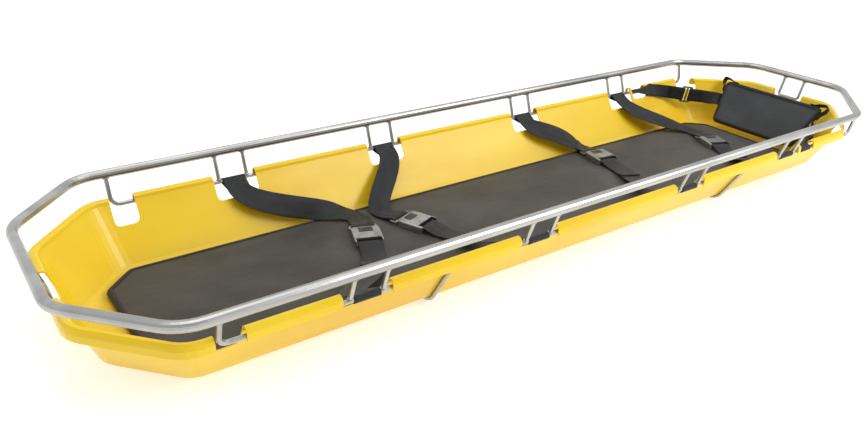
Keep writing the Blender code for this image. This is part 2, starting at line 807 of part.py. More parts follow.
def make_housing(station):
    half_l, half_w = HOUSING_LENGTH / 2, HOUSING_WIDTH / 2
    bm = box((-half_l, -half_w, GAP), (half_l, half_w, HOUSING_HEIGHT))
    bevel_edges(bm, upright_edges(bm), HOUSING_CORNER, 3)
    rims = [e for e in bm.edges if all(v.co.z > HOUSING_HEIGHT - GAP for v in e.verts)]
    bevel_edges(bm, rims, HOUSING_EDGE, 2)
    obj = mesh_object(f"{station}_buckle_housing", bm)
    blade = BLADE_WIDTH / 2 + FIT
    mid = button_middle()
    room = BUTTON_LENGTH / 2 + FIT
    ears = BUTTON_WIDTH / 2 + FIT
    slot = WEB_WIDTH / 2 + SLOT_SIDE
    over = HOUSING_HEIGHT + WALL
    bar_end = -half_l + BAR
    bar_half = REAR_BAR_THICK / 2
    hollows = {
        "blade_way": ((mid - room - BLADE_NOSE, -blade, BLADE_Z - FIT),
                      (half_l + WALL, blade, BLADE_Z + BLADE_THICK + FIT)),
        "latch_room": ((mid - room, -ears, HOUSING_SKIN), (mid + room, ears, over)),
        "rear_slot": ((bar_end, -slot, -WALL), (bar_end + SLOT, slot, over)),
        "bar_top": ((-half_l - WALL, -slot, BLADE_MID + bar_half), (bar_end + FIT, slot, over)),
        "bar_under": ((-half_l - WALL, -slot, -WALL), (bar_end + FIT, slot, BLADE_MID - bar_half)),
    }
    for name, (low, high) in hollows.items():
        boolean(obj, cutter(f"{station}_{name}", box(low, high)))
    for tool in CUTTERS.objects:
        if tool.name.startswith(f"{station}_"):
            place_buckle(tool, station)
    place_buckle(obj, station)
    keep(obj, "buckle")


def make_button(station):
    base = BLADE_Z + BLADE_THICK + BUTTON_TRAVEL + 2 * FIT
    half_l, half_w = BUTTON_LENGTH / 2, BUTTON_WIDTH / 2
    mid = button_middle()
    bm = box((mid - half_l, -half_w, base), (mid + half_l, half_w, HOUSING_HEIGHT + BUTTON_PROUD))
    top = [e for e in bm.edges if all(v.co.z > HOUSING_HEIGHT for v in e.verts)]
    bevel_edges(bm, top, BUTTON_EDGE, 1)
    obj = mesh_object(f"{station}_button", bm)
    place_buckle(obj, station)
    keep(obj, "button")


def make_latch(station):
    """The plate that rides under the blade, drawn with its tooth just out of the window.

    Its two ears rise beside the blade to the button, which pushes it down.
    """
    mid = button_middle()
    half_l = BUTTON_LENGTH / 2 - LATCH_SHORT
    out = BUTTON_WIDTH / 2 - FIT
    high = BLADE_Z - 2 * FIT
    low = high - LATCH_THICK
    top = BLADE_Z + BLADE_THICK + BUTTON_TRAVEL + FIT
    bm = box((mid - half_l, -out, low), (mid + half_l, out, high))
    obj = mesh_object(f"{station}_latch", bm)
    inner = BLADE_WIDTH / 2 + FIT
    tooth = WINDOW / 2 - 2 * FIT
    parts = {
        "tooth": ((mid - tooth, -tooth, (low + high) / 2), (mid + tooth, tooth, BLADE_Z - GAP)),
        "ear_left": ((mid - half_l / 2, inner, (low + high) / 2), (mid + half_l / 2, out, top)),
        "ear_right": ((mid - half_l / 2, -out, (low + high) / 2), (mid + half_l / 2, -inner, top)),
    }
    for name, (a, b) in parts.items():
        tool = cutter(f"{station}_latch_{name}", box(a, b))
        place_buckle(tool, station)
        boolean(obj, tool, "UNION")
    place_buckle(obj, station)
    keep(obj, "buckle")


def make_tongue(station):
    high = BLADE_Z + BLADE_THICK
    back = TONGUE_FRONT + TONGUE_HEAD
    bm = box((TONGUE_FRONT, -HOUSING_WIDTH / 2, BLADE_Z), (back, HOUSING_WIDTH / 2, high))
    bevel_edges(bm, upright_edges(bm), TONGUE_CORNER, 2)
    obj = mesh_object(f"{station}_tongue", bm)
    tip = HOUSING_LENGTH / 2 - BLADE_REACH
    blade = box((tip, -BLADE_WIDTH / 2, BLADE_Z), (TONGUE_FRONT + WALL, BLADE_WIDTH / 2, high))
    nose = [e for e in upright_edges(blade) if all(v.co.x < tip + GAP for v in e.verts)]
    bevel_edges(blade, nose, BLADE_NOSE, 2)
    mid = button_middle()
    window = WINDOW / 2
    slot = WEB_WIDTH / 2 + SLOT_SIDE
    hole = box((mid - window, -window, 0), (mid + window, window, 2 * high))
    web_slot = box((back - BAR - SLOT, -slot, 0), (back - BAR, slot, 2 * high))
    shapes = [
        ("blade", blade, "UNION"),
        ("window", hole, "DIFFERENCE"),
        ("web_slot", web_slot, "DIFFERENCE"),
    ]
    for name, shape, operation in shapes:
        tool = cutter(f"{station}_tongue_{name}", shape)
        place_buckle(tool, station)
        boolean(obj, tool, operation)
    place_buckle(obj, station)
    keep(obj, "buckle")


# Footrest straps


def spline_frames(knots, samples):
    """Frames along a smooth curve through (point, across) knots."""
    frames = []
    count = len(knots)
    for i in range(count - 1):
        p = [knots[max(0, min(count - 1, i + k))] for k in (-1, 0, 1, 2)]
        steps = samples[i]
        for k in range(steps):
            t = k / steps
            frames.append((catmull([q[0] for q in p], t),
                           catmull([q[1] for q in p], t).normalized()))
    frames.append(knots[-1])
    return frames


def catmull(p, t):
    a, b, c, d = p
    return 0.5 * ((2 * b) + (c - a) * t + (2 * a - 5 * b + 4 * c - d) * t * t
                  + (3 * b - a - 3 * c + d) * t**3)


def board_spot(sign, out, height, back):
    """A point by the footrest: out from its side edge, up it, and behind its front face."""
    side = board_half(height) + out
    return board_frame() @ Vector((-side * sign, height, -back))


def strap_ends(sign):
    """Ends of the footrest strap's free stretch: inside the wall, and beside the board."""
    return by_rod(sign, STRAP_START), board_spot(sign, WEB_THICK / 2 + GAP * 2, STRAP_HEIGHT, 0.0)


def by_rod(sign, offset):
    """A point offset from the lower rod where the footrest's strap starts; +y is outward."""
    x, y, z = offset
    return Vector((STRAP_X + x, (ROD_Y + y) * sign, ROD_Z + z))


def strap_frame(sign):
    """The free stretch's direction, its direction across, and the way out from the board."""
    start, board = strap_ends(sign)
    run = (board - start).normalized()
    across = Vector((0, 0, 1)) - run * run.z
    across.normalize()
    return run, across, run.cross(across) * sign


def make_foot_strap(side):
    """Webbing from a lower rod, over the wall and through the near bar of its adjuster."""
    sign = 1 if side == "left" else -1
    start, board = strap_ends(sign)
    run, across, normal = strap_frame(sign)
    bar = start.lerp(board, ADJUSTER_SHARE) - run * (ADJUSTER_LENGTH - BAR) / 2
    rod = by_rod(sign, (0, 0, 0))
    turn = ROD_R + WEB_SEAT
    wrap = [
        (rod + Vector((0, sign * cos(a) * turn, sin(a) * turn)), Vector((1, 0, 0)))
        for a in (radians(d) for d in (215, 250, 285, 320, 355, 390, 425, 460))
    ]
    slope = Vector((0, wall_slope() * sign, 1)).normalized()
    inside = by_rod(sign, [a + b for a, b in zip(STRAP_START, STRAP_INSIDE)])
    knots = [
        wrap[-1],
        (by_rod(sign, STRAP_GATE), Vector((0.95, 0, 0.32))),
        (inside, (slope + Vector((0.55, 0, 0))).normalized()),
        (start, slope),
        (bar - run * LOOP_RUN - normal * ADJUSTER_LOW, across),
    ]
    loop = bar_loop(bar, run, normal, across, ADJUSTER_LOW, ADJUSTER_THICK, BAR, LOOP_RUN + BAR)
    frames = wrap[:-1] + spline_frames(knots, (2, 3, 2, 4))[:-1] + loop
    ribbon(f"footrest_strap_{side}", frames, STRAP_WIDTH)


def make_foot_tail(side):
    """Webbing from the adjuster's far bar, round the board's edge and along its back."""
    sign = 1 if side == "left" else -1
    start, board = strap_ends(sign)
    run, across, normal = strap_frame(sign)
    bar = start.lerp(board, ADJUSTER_SHARE) + run * (ADJUSTER_LENGTH - BAR) / 2
    up = board_spot(sign, 0, STRAP_HEIGHT + STRAP_WIDTH, 0) - board_spot(sign, 0, STRAP_HEIGHT, 0)
    up.normalize()
    off = WEB_THICK / 2 + 2 * GAP
    back = [(board_spot(sign, -STRAP_BACK, STRAP_HEIGHT, BOARD_THICK + off), up)]
    for angle in (radians(d) for d in (0, 30, 60, 90)):
        out = off * cos(pi / 2 - angle) if angle else 0.0
        deep = BOARD_THICK + off * cos(angle)
        back.append((board_spot(sign, out, STRAP_HEIGHT, deep), up))
    back.append((board, up))
    back.append((board.lerp(bar, 0.3), up.lerp(across, 0.5)))
    loop = bar_loop(bar, -run, normal, across, ADJUSTER_LOW, ADJUSTER_THICK, BAR, LOOP_RUN + BAR)
    ribbon(f"footrest_tail_{side}", back + loop, STRAP_WIDTH)


def make_adjuster(side):
    """A flat slide with two slots, one for each strap."""
    sign = 1 if side == "left" else -1
    start, board = strap_ends(sign)
    run, across, _ = strap_frame(sign)
    half_l, half_w = ADJUSTER_LENGTH / 2, STRAP_WIDTH / 2 + ADJUSTER_SIDE
    thick = ADJUSTER_THICK / 2
    bm = box((-half_l, -half_w, -thick), (half_l, half_w, thick))
    bevel_edges(bm, upright_edges(bm), ADJUSTER_CORNER, 2)
    obj = mesh_object(f"footrest_adjuster_{side}", bm)
    matrix = Matrix((run, across, run.cross(across))).transposed().to_4x4()
    matrix.translation = start.lerp(board, ADJUSTER_SHARE)
    inner = half_l - BAR
    slot = (STRAP_WIDTH + SLOT_SIDE) / 2
    for name, low, high in (("rear", -inner, -inner + SLOT), ("front", inner - SLOT, inner)):
        tool = cutter(f"adjuster_{name}_{side}", box((low, -slot, -SLOT), (high, slot, SLOT)))
        tool.matrix_world = matrix
        boolean(obj, tool)
    obj.matrix_world = matrix
    keep(obj, "buckle")


def make_corner_loop(side):
    """A sewn loop of narrow webbing that stands off the board's upper corner."""
    sign = 1 if side == "left" else -1
    top = board_length()
    face = board_frame().to_3x3() @ Vector((0, 0, 1))
    knots = [(board_spot(sign, out, top + up, BOARD_THICK / 2), face)
             for out, up in zip(LOOP_OUT, LOOP_UP)]
    ribbon(f"footrest_loop_{side}", spline_frames(knots, (1, 3, 3, 3, 3, 1)), LOOP_WIDTH)


def main():
    make_top_rail()
    make_shell()
    make_end_bracket("head_bracket", -1)
    make_end_bracket("foot_bracket", 1)
    for name, x in HOOP_X.items():
        make_hoop(name, x)
    for side in ("left", "right"):
        make_lower_rod(side)
        make_posts(side)
    make_pad()
    make_board()
    for station in STATIONS:
        make_restraint(station)
        make_housing(station)
        make_button(station)
        make_latch(station)
        make_tongue(station)
    for side in ("left", "right"):
        make_foot_strap(side)
        make_adjuster(side)
        make_foot_tail(side)
        make_corner_loop(side)


main()
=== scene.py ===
"""Dresses the basket stretcher: its woven and padded pieces, finishes, light and camera.

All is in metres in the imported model's frame: +X to the foot end, +Y to the left side of a patient
who lies face up, +Z up.
"""
import json
from math import cos, hypot, pi, radians, sin, tan

import bmesh
import bpy
import numpy as np
from mathutils import Matrix, Vector


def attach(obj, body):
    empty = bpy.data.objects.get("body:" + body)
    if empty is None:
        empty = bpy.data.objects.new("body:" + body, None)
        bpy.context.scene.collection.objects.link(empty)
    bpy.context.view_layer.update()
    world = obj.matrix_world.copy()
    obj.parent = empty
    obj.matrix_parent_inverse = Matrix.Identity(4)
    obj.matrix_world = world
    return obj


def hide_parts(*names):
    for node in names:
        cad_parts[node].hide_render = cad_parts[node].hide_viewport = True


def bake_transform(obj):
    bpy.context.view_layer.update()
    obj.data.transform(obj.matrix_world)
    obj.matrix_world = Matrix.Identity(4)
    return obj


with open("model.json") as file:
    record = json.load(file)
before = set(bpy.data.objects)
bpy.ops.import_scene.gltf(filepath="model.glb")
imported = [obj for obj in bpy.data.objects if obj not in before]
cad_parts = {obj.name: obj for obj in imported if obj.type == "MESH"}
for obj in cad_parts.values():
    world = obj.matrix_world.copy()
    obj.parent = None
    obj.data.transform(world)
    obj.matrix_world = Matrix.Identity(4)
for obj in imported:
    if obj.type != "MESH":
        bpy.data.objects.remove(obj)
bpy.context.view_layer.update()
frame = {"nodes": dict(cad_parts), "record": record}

# Frame of the stretcher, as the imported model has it
HALF_X, HALF_Y = 1.0575, 0.2955
RAIL_R, RAIL_Z = 0.0095, 0.181
HEAD_CUT_X, HEAD_CUT_Y = 0.137, 0.153
FOOT_CUT_X, FOOT_CUT_Y = 0.196, 0.154
ROD_R, ROD_Y, ROD_Z = 0.0045, 0.275, 0.121
POST_R, POST_SPACING = 0.00425, 0.062
HEAD_LEG_X, FOOT_LEG_X = -0.865, 0.870
HOOPS = (-0.430, 0.450)
HOOP_R, HOOP_KNEE, HOOP_OUT = 0.004, 0.018, 0.0035
BRACKET_SET_IN = 0.0205
GAP = 0.0003
UP = Vector((0, 0, 1))

# Shell and pad
ROLL_Z, RIM_INSET = 0.1285, 0.0315
FLOOR_TOP, FLOOR_HALF, FLOOR_RADIUS = 0.0115, 0.177, 0.030
WALL_ANGLE = radians(52)
PAD_THICK = 0.0145
PAD_BASE = FLOOR_TOP + GAP
PAD_TOP = PAD_BASE + PAD_THICK
PAD_HALF, PAD_HEAD, PAD_FOOT = 0.183, 0.930, 0.855
PAD_HEAD_CUT, PAD_FOOT_CUT, PAD_CORNER = 0.057, 0.045, 0.018
# The pad's dome falls to flat at its edge and under what lies on it, over these distances
PAD_DOME, EDGE_DROP = 0.0030, 0.0007
PRESS_CLEAR, PRESS_REACH = 0.012, 0.050
DOME_START, DOME_REACH = 0.010, 0.030

# Covers before they swell, and their binding: how far in the tape and the seam go, and their steps
PAD_VOXEL, BOARD_VOXEL, COVER_SLACK = 0.006, 0.004, 0.004
SWELL_FRAMES, SWELL_PRESSURE = 20, 4.0
BOUND_EDGE, SMOOTH_FROM, QUICK_RISE = 0.008, 0.014, 0.12
TAPE_WIDTH, TAPE_THICK, TAPE_OUT = 0.030, 0.0009, 0.0004
PAD_TAPE, PAD_SEAM = (0.011, 0.012), (0.0085, 0.0052)
BOARD_TAPE, BOARD_SEAM = (0.010, 0.008), (0.0078, 0.0048)
# A distance beyond anything on the stretcher, and one too small to matter
FAR, CLOSE = 9.0, 1e-6

# Restraints: the station of each along the stretcher, and its buckle's place and heading
STATIONS = {"chest": -0.615, "waist": -0.240, "thigh": 0.205, "shin": 0.580}
BUCKLES = {
    "chest": (-0.424, 0.040, 70.0),
    "waist": (-0.296, 0.040, 112.0),
    "thigh": (0.345, 0.100, 82.0),
    "shin": (0.715, 0.010, 68.0),
}
SIDES = (("left", 1), ("right", -1))
COLUMNS, ROD_ROWS, HUNG_ROWS = 6, 23, 34
MIDDLE = COLUMNS // 2
WEB_WIDTH, WEB_THICK = 0.050, 0.0018
WEB_SEAT = 0.0015
WEB_FALL = radians(30.0)
WEB_LEVEL_PAST = 0.019
SEWN_LENGTH, SEWN_BACK = 0.026, 0.004
ROD_PULL, BUCKLE_PULL = 0.27, 0.30
LOOP_RUN, LOOP_RAMP, BAR = 0.034, 0.010, 0.006
# The left thigh tongue comes to the foot of the wall, so its loop is short and its webbing bowed
SHORT_LOOP = {("thigh", "left"): 0.018}
SHORT_PULL, SHORT_BOW, CUP = 0.024, 0.014, 0.0012
TAILS, HEM = {"left": 0.050, "right": 0.110}, 0.016
BLEND_OFF, PRESS_NEAR = 0.004, 0.012
BLADE_MID, BLADE_THICK, REAR_BAR = 0.00725, 0.0025, 0.004
BAR_PLACE = {"left": 0.0515, "right": -0.030}
HOUSING_HALF, HOUSING_HIGH = (0.033, 0.031), 0.016

# Footrest
BOARD_THICK, BOARD_X, BOARD_Z = 0.018, 0.868, 0.0385
BOARD_LEAN, BOARD_RISE = 0.080, 0.1085
BOARD_TOP_GAP, BOARD_TAPER, BOARD_CORNER, BOARD_DOME = 0.0295, 0.026, 0.014, 0.0020
STRAP_X, STRAP_WIDTH, STRAP_HEIGHT, STRAP_BACK = 0.665, 0.038, 0.070, 0.060
# Along, out and up from where the strap goes round its rod, the last one from its start
STRAP_START = (0.055, -0.021, 0.002)
STRAP_GATE = (0.008, -0.012, 0.0085)
STRAP_INSIDE = (-0.018, 0.0012, 0.004)
ADJUSTER_SHARE, ADJUSTER_LENGTH, ADJUSTER_THICK = 0.50, 0.034, 0.0026
ADJUSTER_LOW = WEB_THICK + 2 * GAP + ADJUSTER_THICK / 2
# Out and up from the board's upper corner
LOOP_WIDTH, LOOP_KNOTS = 0.020, [
    (0.0012, -0.035), (0.0022, -0.0215), (0.010, -0.0067), (0.006, 0.0081), (-0.014, 0.0067),
    (-0.026, 0.0012), (-0.040, 0.0012),
]

# Sewing, welds and rivets
STITCH, STITCH_WIDE, STITCH_HIGH, STITCH_LIFT = 0.0034, 0.0030, 0.0024, 0.0002
BOX_HALF, BOX_NEAR, BOX_FAR = 0.84, 0.003, 0.021
HEM_HALF, HEM_STITCHES = 0.86, (0.003, 0.006, 0.013)
SEAM_WIDE, SEAM_HIGH, SEAM_LIFT = 0.0026, 0.0022, 0.0006
RIVET_R, RIVET_HIGH, RIVET_STEP = 0.0023, 0.0012, 0.0007
RIVETS = [(0.027, -0.0235), (0.027, 0.0235), (-0.0140, -0.0205), (-0.0140, 0.0205)]
ROD_WELD, RAIL_WELD = ROD_R + 0.0002, RAIL_R + 0.0004

# Pitch of the cover's weave, and of the webbing's picks and ends
WEAVE, PICK, END = 0.0015, 0.0017, 0.00125

# Camera, floor and light
EYE = Vector((-1.159657, -1.183295, 0.790698))
YAW, PITCH, ROLL = 0.637872, 0.455466, 0.0377098
LENS, SENSOR = 31.796, 36.0
WHITE = (1.0, 1.0, 1.0, 1.0)
SKY_SEEN, SKY_LOW, SKY_HIGH = 1.1, 0.12, 0.92
SKY_SIDE, SKY_TURN = (0.10, 0.62, 0.78), (-0.75, 0.55)
LIGHTS = {
    "key": ((1.7, -2.1, 2.1), (1.9, 1.5), 58),
    "overhead": ((-0.2, 0.2, 2.6), (2.4, 1.6), 16),
}
FLOOR_SIZE, FLOOR_DROP, FLOOR_GLOW = 14.0, 0.0005, 0.54


# Used throughout


def placed(x, y, z, point):
    """A matrix from its axes and its place."""
    matrix = Matrix((x, y, z)).transposed().to_4x4()
    matrix.translation = point
    return matrix


def shown(name, data):
    """A new object in the scene."""
    made = bpy.data.objects.new(name, data)
    bpy.context.scene.collection.objects.link(made)
    return made


def turns(first, stop, step):
    """Angles in radians, from even steps in degrees."""
    return [radians(angle) for angle in range(first, stop, step)]


def ease(values):
    """From 0 to 1, level at both ends."""
    share = np.clip(values, 0, 1)
    return share * share * (3 - 2 * share)


# Camera and light


def place_camera():
    forward = Vector((sin(YAW) * cos(PITCH), cos(YAW) * cos(PITCH), -sin(PITCH)))
    level = Vector((cos(YAW), -sin(YAW), 0))
    lift = level.cross(forward)
    right = level * cos(ROLL) + lift * sin(ROLL)
    over = lift * cos(ROLL) - level * sin(ROLL)
    data = bpy.data.cameras.new("camera")
    data.sensor_width = SENSOR
    data.lens = LENS
    data.clip_start = 0.01
    camera = shown("camera", data)
    camera.matrix_world = placed(right, over, -forward, EYE)
    bpy.context.scene.camera = camera


def soft_light(name, place, size, power):
    data = bpy.data.lights.new(name, "AREA")
    data.shape = "RECTANGLE"
    data.size, data.size_y = size
    data.energy = power
    lamp = shown(name, data)
    lamp.location = place
    lamp.rotation_euler = (-Vector(place)).to_track_quat("-Z", "Y").to_euler()


def white_sky():
    """A white studio: seen white, and lighting the stretcher less from the camera's side."""
    world = bpy.data.worlds.new("studio")
    world.use_nodes = True
    sky = Nodes(world.node_tree)
    sky.tree.nodes.remove(sky.tree.nodes["Background"])
    lean = sky.node("VectorMath", {"operation": "DOT_PRODUCT"},
                    {0: sky.node("TexCoord"), 1: SKY_SIDE}, output="Value")
    lit, seen = (sky.node("Background", None, {"Color": WHITE, "Strength": strength})
                 for strength in (lean.between(*SKY_TURN, SKY_LOW, SKY_HIGH), SKY_SEEN))
    mix = sky.node("MixShader", None, {0: sky.node("LightPath"), 1: lit, 2: seen})
    sky.feed(sky.tree.nodes["World Output"].inputs["Surface"], mix)
    bpy.context.scene.world = world


def light_studio():
    white_sky()
    bpy.context.scene.view_settings.view_transform = "Standard"
    for name, (place, size, power) in LIGHTS.items():
        soft_light(name, place, size, power)


# Material nodes


class Tone:
    """A socket's value; arithmetic on it adds Math nodes."""

    def __init__(self, nodes, socket):
        self.nodes, self.socket = nodes, socket

    def maths(self, operation, *values):
        return self.nodes.node("Math", {"operation": operation}, dict(enumerate(values)))

    def __add__(self, other):
        return self.maths("ADD", self, other)

    def __sub__(self, other):
        return self.maths("SUBTRACT", self, other)

    def __rsub__(self, other):
        return self.maths("SUBTRACT", other, self)

    def __mul__(self, other):
        return self.maths("MULTIPLY", self, other)

    __radd__ = __add__
    __rmul__ = __mul__

    def wave(self, pitch):
        """A ripple from 0 to 1 that repeats each pitch."""
        return self.maths("SINE", self * (2 * pi / pitch)) * 0.5 + 0.5

    def zigzag(self, pitch):
        """A climb and fall between 0 and the pitch."""
        return self.maths("PINGPONG", self, pitch)

    def between(self, low, high, start=0.0, end=1.0):
        """A smooth step from start to end as the value goes from low to high."""
        return self.nodes.node(
            "MapRange", {"interpolation_type": "SMOOTHSTEP"},
            {"Value": self, "From Min": low, "From Max": high, "To Min": start, "To Max": end},
        )


class Nodes:
    """A node tree whose nodes are made by one method."""

    def __init__(self, tree):
        self.tree = tree

    def node(self, kind, settings=None, inputs=None, output=0):
        made = self.tree.nodes.new("ShaderNode" + kind)
        for key, value in (settings or {}).items():
            setattr(made, key, value)
        for key, value in (inputs or {}).items():
            self.feed(made.inputs[key], value)
        return Tone(self, made.outputs[output])

    def feed(self, socket, value):
        if isinstance(value, Tone):
            self.tree.links.new(value.socket, socket)
        else:
            socket.default_value = value


class Finish(Nodes):
    """A material with a Principled shader; its patterns lie in the object or on the cloth."""

    def __init__(self, name, plain, cloth=False):
        self.material = bpy.data.materials.new(name)
        self.material.use_nodes = True
        super().__init__(self.material.node_tree)
        self.shader = self.tree.nodes["Principled BSDF"]
        for key, value in plain.items():
            self.feed(self.shader.inputs[key], value)
        if cloth:
            self.place = self.node("UVMap", {"uv_map": "UVMap"})
        else:
            self.place = self.node("TexCoord", output="Object")

    def set(self, **values):
        """Feeds the shader's sockets, and gives the finished material."""
        for key, value in values.items():
            self.feed(self.shader.inputs[key.replace("_", " ")], value)
        return self.material

    def stretched(self, stretch):
        return self.node("Mapping", None, {"Vector": self.place, "Scale": stretch})

    def noise(self, scale, detail=3.0, stretch=(1, 1, 1), twist=0.0):
        return self.node("TexNoise", None, {
            "Vector": self.stretched(stretch), "Scale": scale, "Detail": detail,
            "Distortion": twist})

    def cells(self, scale, stretch):
        return self.node("TexVoronoi", {"feature": "DISTANCE_TO_EDGE"}, {
            "Vector": self.stretched(stretch), "Scale": scale})

    def blend(self, share, first, second):
        return self.node("Mix", {"data_type": "RGBA"}, {
            0: share, 6: colour(first), 7: colour(second)}, output=2)

    def bump(self, height, distance, strength=1.0, under=None):
        inputs = {"Height": height, "Distance": distance, "Strength": strength}
        if under is not None:
            inputs["Normal"] = under
        return self.node("Bump", None, inputs)

    def split(self):
        """The three parts of a place."""
        parts = self.node("SeparateXYZ", None, {0: self.place}).socket.node
        return [Tone(self, socket) for socket in parts.outputs]


def colour(value):
    return value if isinstance(value, Tone) else (*value, 1.0)


def moulded_plastic():
    """Yellow polyethylene: waxy skin, faint flow marks, scuffs along the outside."""
    finish = Finish("moulded_plastic", {
        "Specular IOR Level": 0.32, "Subsurface Weight": 0.08, "Subsurface Scale": 0.004,
        "Subsurface Radius": (1.0, 0.55, 0.12), "Coat Roughness": 0.18,
    })
    _, _, height = finish.split()
    cloud = finish.noise(2.3, 4.0, (1, 1.6, 1.6), 0.4)
    flow = finish.noise(9.0, 3.0, (0.35, 1.4, 2.0), 0.8)
    peel = finish.noise(620.0, 2.0)
    skin = finish.noise(60.0, 3.0)
    scratch = finish.noise(70.0, 5.0, (0.5, 9.0, 9.0), 0.6).between(0.66, 0.74)
    nick = finish.noise(110.0, 5.0, (7.0, 1.0, 0.6), 0.5).between(0.70, 0.76)
    low = height.between(0.004, 0.060, 1.0, 0.0)
    rubbed = scratch * (low * 0.75 + 0.25) * 0.55
    base = finish.blend(cloud.between(0.30, 0.70), (0.78, 0.490, 0.010), (0.86, 0.600, 0.016))
    base = finish.blend(flow.between(0.45, 0.75, 0.0, 0.35), base, (0.89, 0.655, 0.030))
    base = finish.blend(rubbed, base, (0.93, 0.78, 0.30))
    base = finish.blend(low * cloud.between(0.45, 0.65) * 0.22, base, (0.36, 0.27, 0.12))
    return finish.set(
        Base_Color=base,
        Roughness=skin * 0.10 + peel * 0.05 + rubbed * 0.3 + 0.24,
        Coat_Weight=flow.between(0.3, 0.7, 0.04, 0.14),
        Normal=finish.bump(peel * 0.6 + scratch * -0.8 + nick * -0.5, 0.00014, 0.6,
                           under=finish.bump(flow, 0.0006, 0.3)),
    )


def satin_steel():
    """Stainless tube and rod: drawn along its length, handled, slightly stained."""
    finish = Finish("satin_steel", {"Metallic": 1.0, "Specular IOR Level": 0.5})
    drawn = finish.noise(90.0, 4.0, (0.05, 8.0, 8.0))
    rings = finish.noise(240.0, 2.0, (5.0, 0.2, 0.2))
    handled = finish.noise(6.0, 4.0, (1, 3, 3), 0.5)
    spot = finish.noise(130.0, 3.0).between(0.66, 0.78)
    base = finish.blend(handled.between(0.3, 0.7), (0.37, 0.37, 0.36), (0.50, 0.50, 0.486))
    base = finish.blend(spot * 0.5, base, (0.34, 0.32, 0.29))
    return finish.set(
        Base_Color=base,
        Roughness=handled * 0.16 + drawn * 0.12 + spot * 0.15 + 0.17,
        Normal=finish.bump(drawn + rings * 0.3 + spot * -0.6, 0.00006, 0.55),
    )


def weld_metal():
    """Ripples of a brushed weld with straw and blue heat colours at its rim."""
    finish = Finish("weld_metal", {"Metallic": 1.0})
    heat = finish.noise(160.0, 3.0)
    base = finish.blend(heat.between(0.35, 0.65), (0.52, 0.50, 0.47), (0.40, 0.37, 0.33))
    return finish.set(
        Base_Color=base,
        Roughness=heat * 0.25 + 0.28,
        Normal=finish.bump(finish.noise(900.0), 0.0001, 0.5),
    )


def plated_steel():
    """Pressed and plated buckle steel: bright skin, fine grain, worn to duller corners."""
    finish = Finish("plated_steel", {"Metallic": 1.0})
    grain = finish.noise(420.0, 3.0, (1, 5, 1))
    wear = finish.noise(45.0, 5.0)
    scratch = finish.cells(120.0, (1.0, 0.35, 1.0)).between(0.0, 0.03, 1.0, 0.0)
    base = finish.blend(wear.between(0.4, 0.65), (0.44, 0.445, 0.45), (0.31, 0.31, 0.305))
    base = finish.blend(scratch * 0.35, base, (0.58, 0.58, 0.58))
    return finish.set(
        Base_Color=base,
        Roughness=wear * 0.22 + grain * 0.10 + 0.16,
        Normal=finish.bump(grain * 0.5 + scratch * -0.5, 0.00008, 0.5),
    )


def button_plastic():
    """Black moulded button with a fine spark texture, polished by thumbs in the middle."""
    finish = Finish("button_plastic", {"Specular IOR Level": 0.5})
    spark = finish.noise(1500.0, 2.0)
    thumb = finish.noise(55.0, 3.0).between(0.4, 0.65)
    return finish.set(
        Base_Color=finish.blend(thumb, (0.010, 0.010, 0.011), (0.026, 0.026, 0.028)),
        Roughness=spark * 0.2 + thumb * -0.14 + 0.36,
        Normal=finish.bump(spark, 0.00008, 0.6),
    )


def coated_fabric(name, deep, pale):
    """Coated woven cover: a fine basket weave under a matt coat, rubbed pale where it is used."""
    finish = Finish(name, {
        "Specular IOR Level": 0.32, "Sheen Weight": 0.12, "Sheen Roughness": 0.45}, cloth=True)
    along, across, _ = finish.split()
    warp, weft = along.wave(WEAVE), across.wave(WEAVE)
    weave = warp * weft + (1.0 - warp) * (1.0 - weft)
    rub = finish.noise(5.5, 5.0, (1, 1.4, 1), 0.5)
    fuzz = finish.noise(320.0, 3.0)
    crease = finish.noise(24.0, 4.0, (0.6, 1.6, 1), 1.4)
    base = finish.blend(rub.between(0.32, 0.68), deep, pale)
    base = finish.blend(weave * 0.25, base, tuple(0.55 * c for c in deep))
    base = finish.blend(fuzz.between(0.62, 0.78, 0.0, 0.25), base, (0.17, 0.165, 0.155))
    return finish.set(
        Base_Color=base,
        Roughness=rub * 0.12 + fuzz * 0.10 + 0.50,
        Normal=finish.bump(weave, 0.00022, 0.5, under=finish.bump(crease, 0.0016, 0.45)),
    )


def woven_strap(name, deep, pale, panel):
    """Webbing: a herringbone of fine picks in panels across its width, soft bright edges."""
    finish = Finish(name, {
        "Specular IOR Level": 0.36, "Sheen Weight": 0.12, "Sheen Roughness": 0.35}, cloth=True)
    across, along, _ = finish.split()
    slant = across.zigzag(panel)
    picks = (along + slant * 0.9).wave(PICK)
    ends = across.wave(END)
    panels = slant.between(0.0, panel * 0.16, 0.35, 1.0)
    height = (picks * 0.7 + ends * 0.3) * panels
    tone = finish.noise(16.0, 4.0, (2.0, 1.0, 1.0))
    fuzz = finish.noise(700.0, 2.0)
    base = finish.blend(height, tuple(0.5 * c for c in deep), deep)
    base = finish.blend(tone.between(0.35, 0.7, 0.0, 0.7), base, pale)
    base = finish.blend(fuzz.between(0.64, 0.8, 0.0, 0.35), base, (0.075, 0.080, 0.090))
    return finish.set(
        Base_Color=base,
        Roughness=fuzz * 0.16 + height * -0.10 + 0.52,
        Normal=finish.bump(height + fuzz * 0.15, 0.00030, 0.8),
    )


def thread():
    """Bonded polyester sewing thread."""
    finish = Finish("thread", {"Specular IOR Level": 0.45, "Sheen Weight": 0.2})
    ply = finish.noise(1400.0, 2.0, (2.5, 1, 1))
    return finish.set(
        Base_Color=finish.blend(ply, (0.030, 0.032, 0.036), (0.085, 0.088, 0.095)),
        Roughness=ply * 0.2 + 0.42,
        Normal=finish.bump(ply, 0.0001, 0.6),
    )


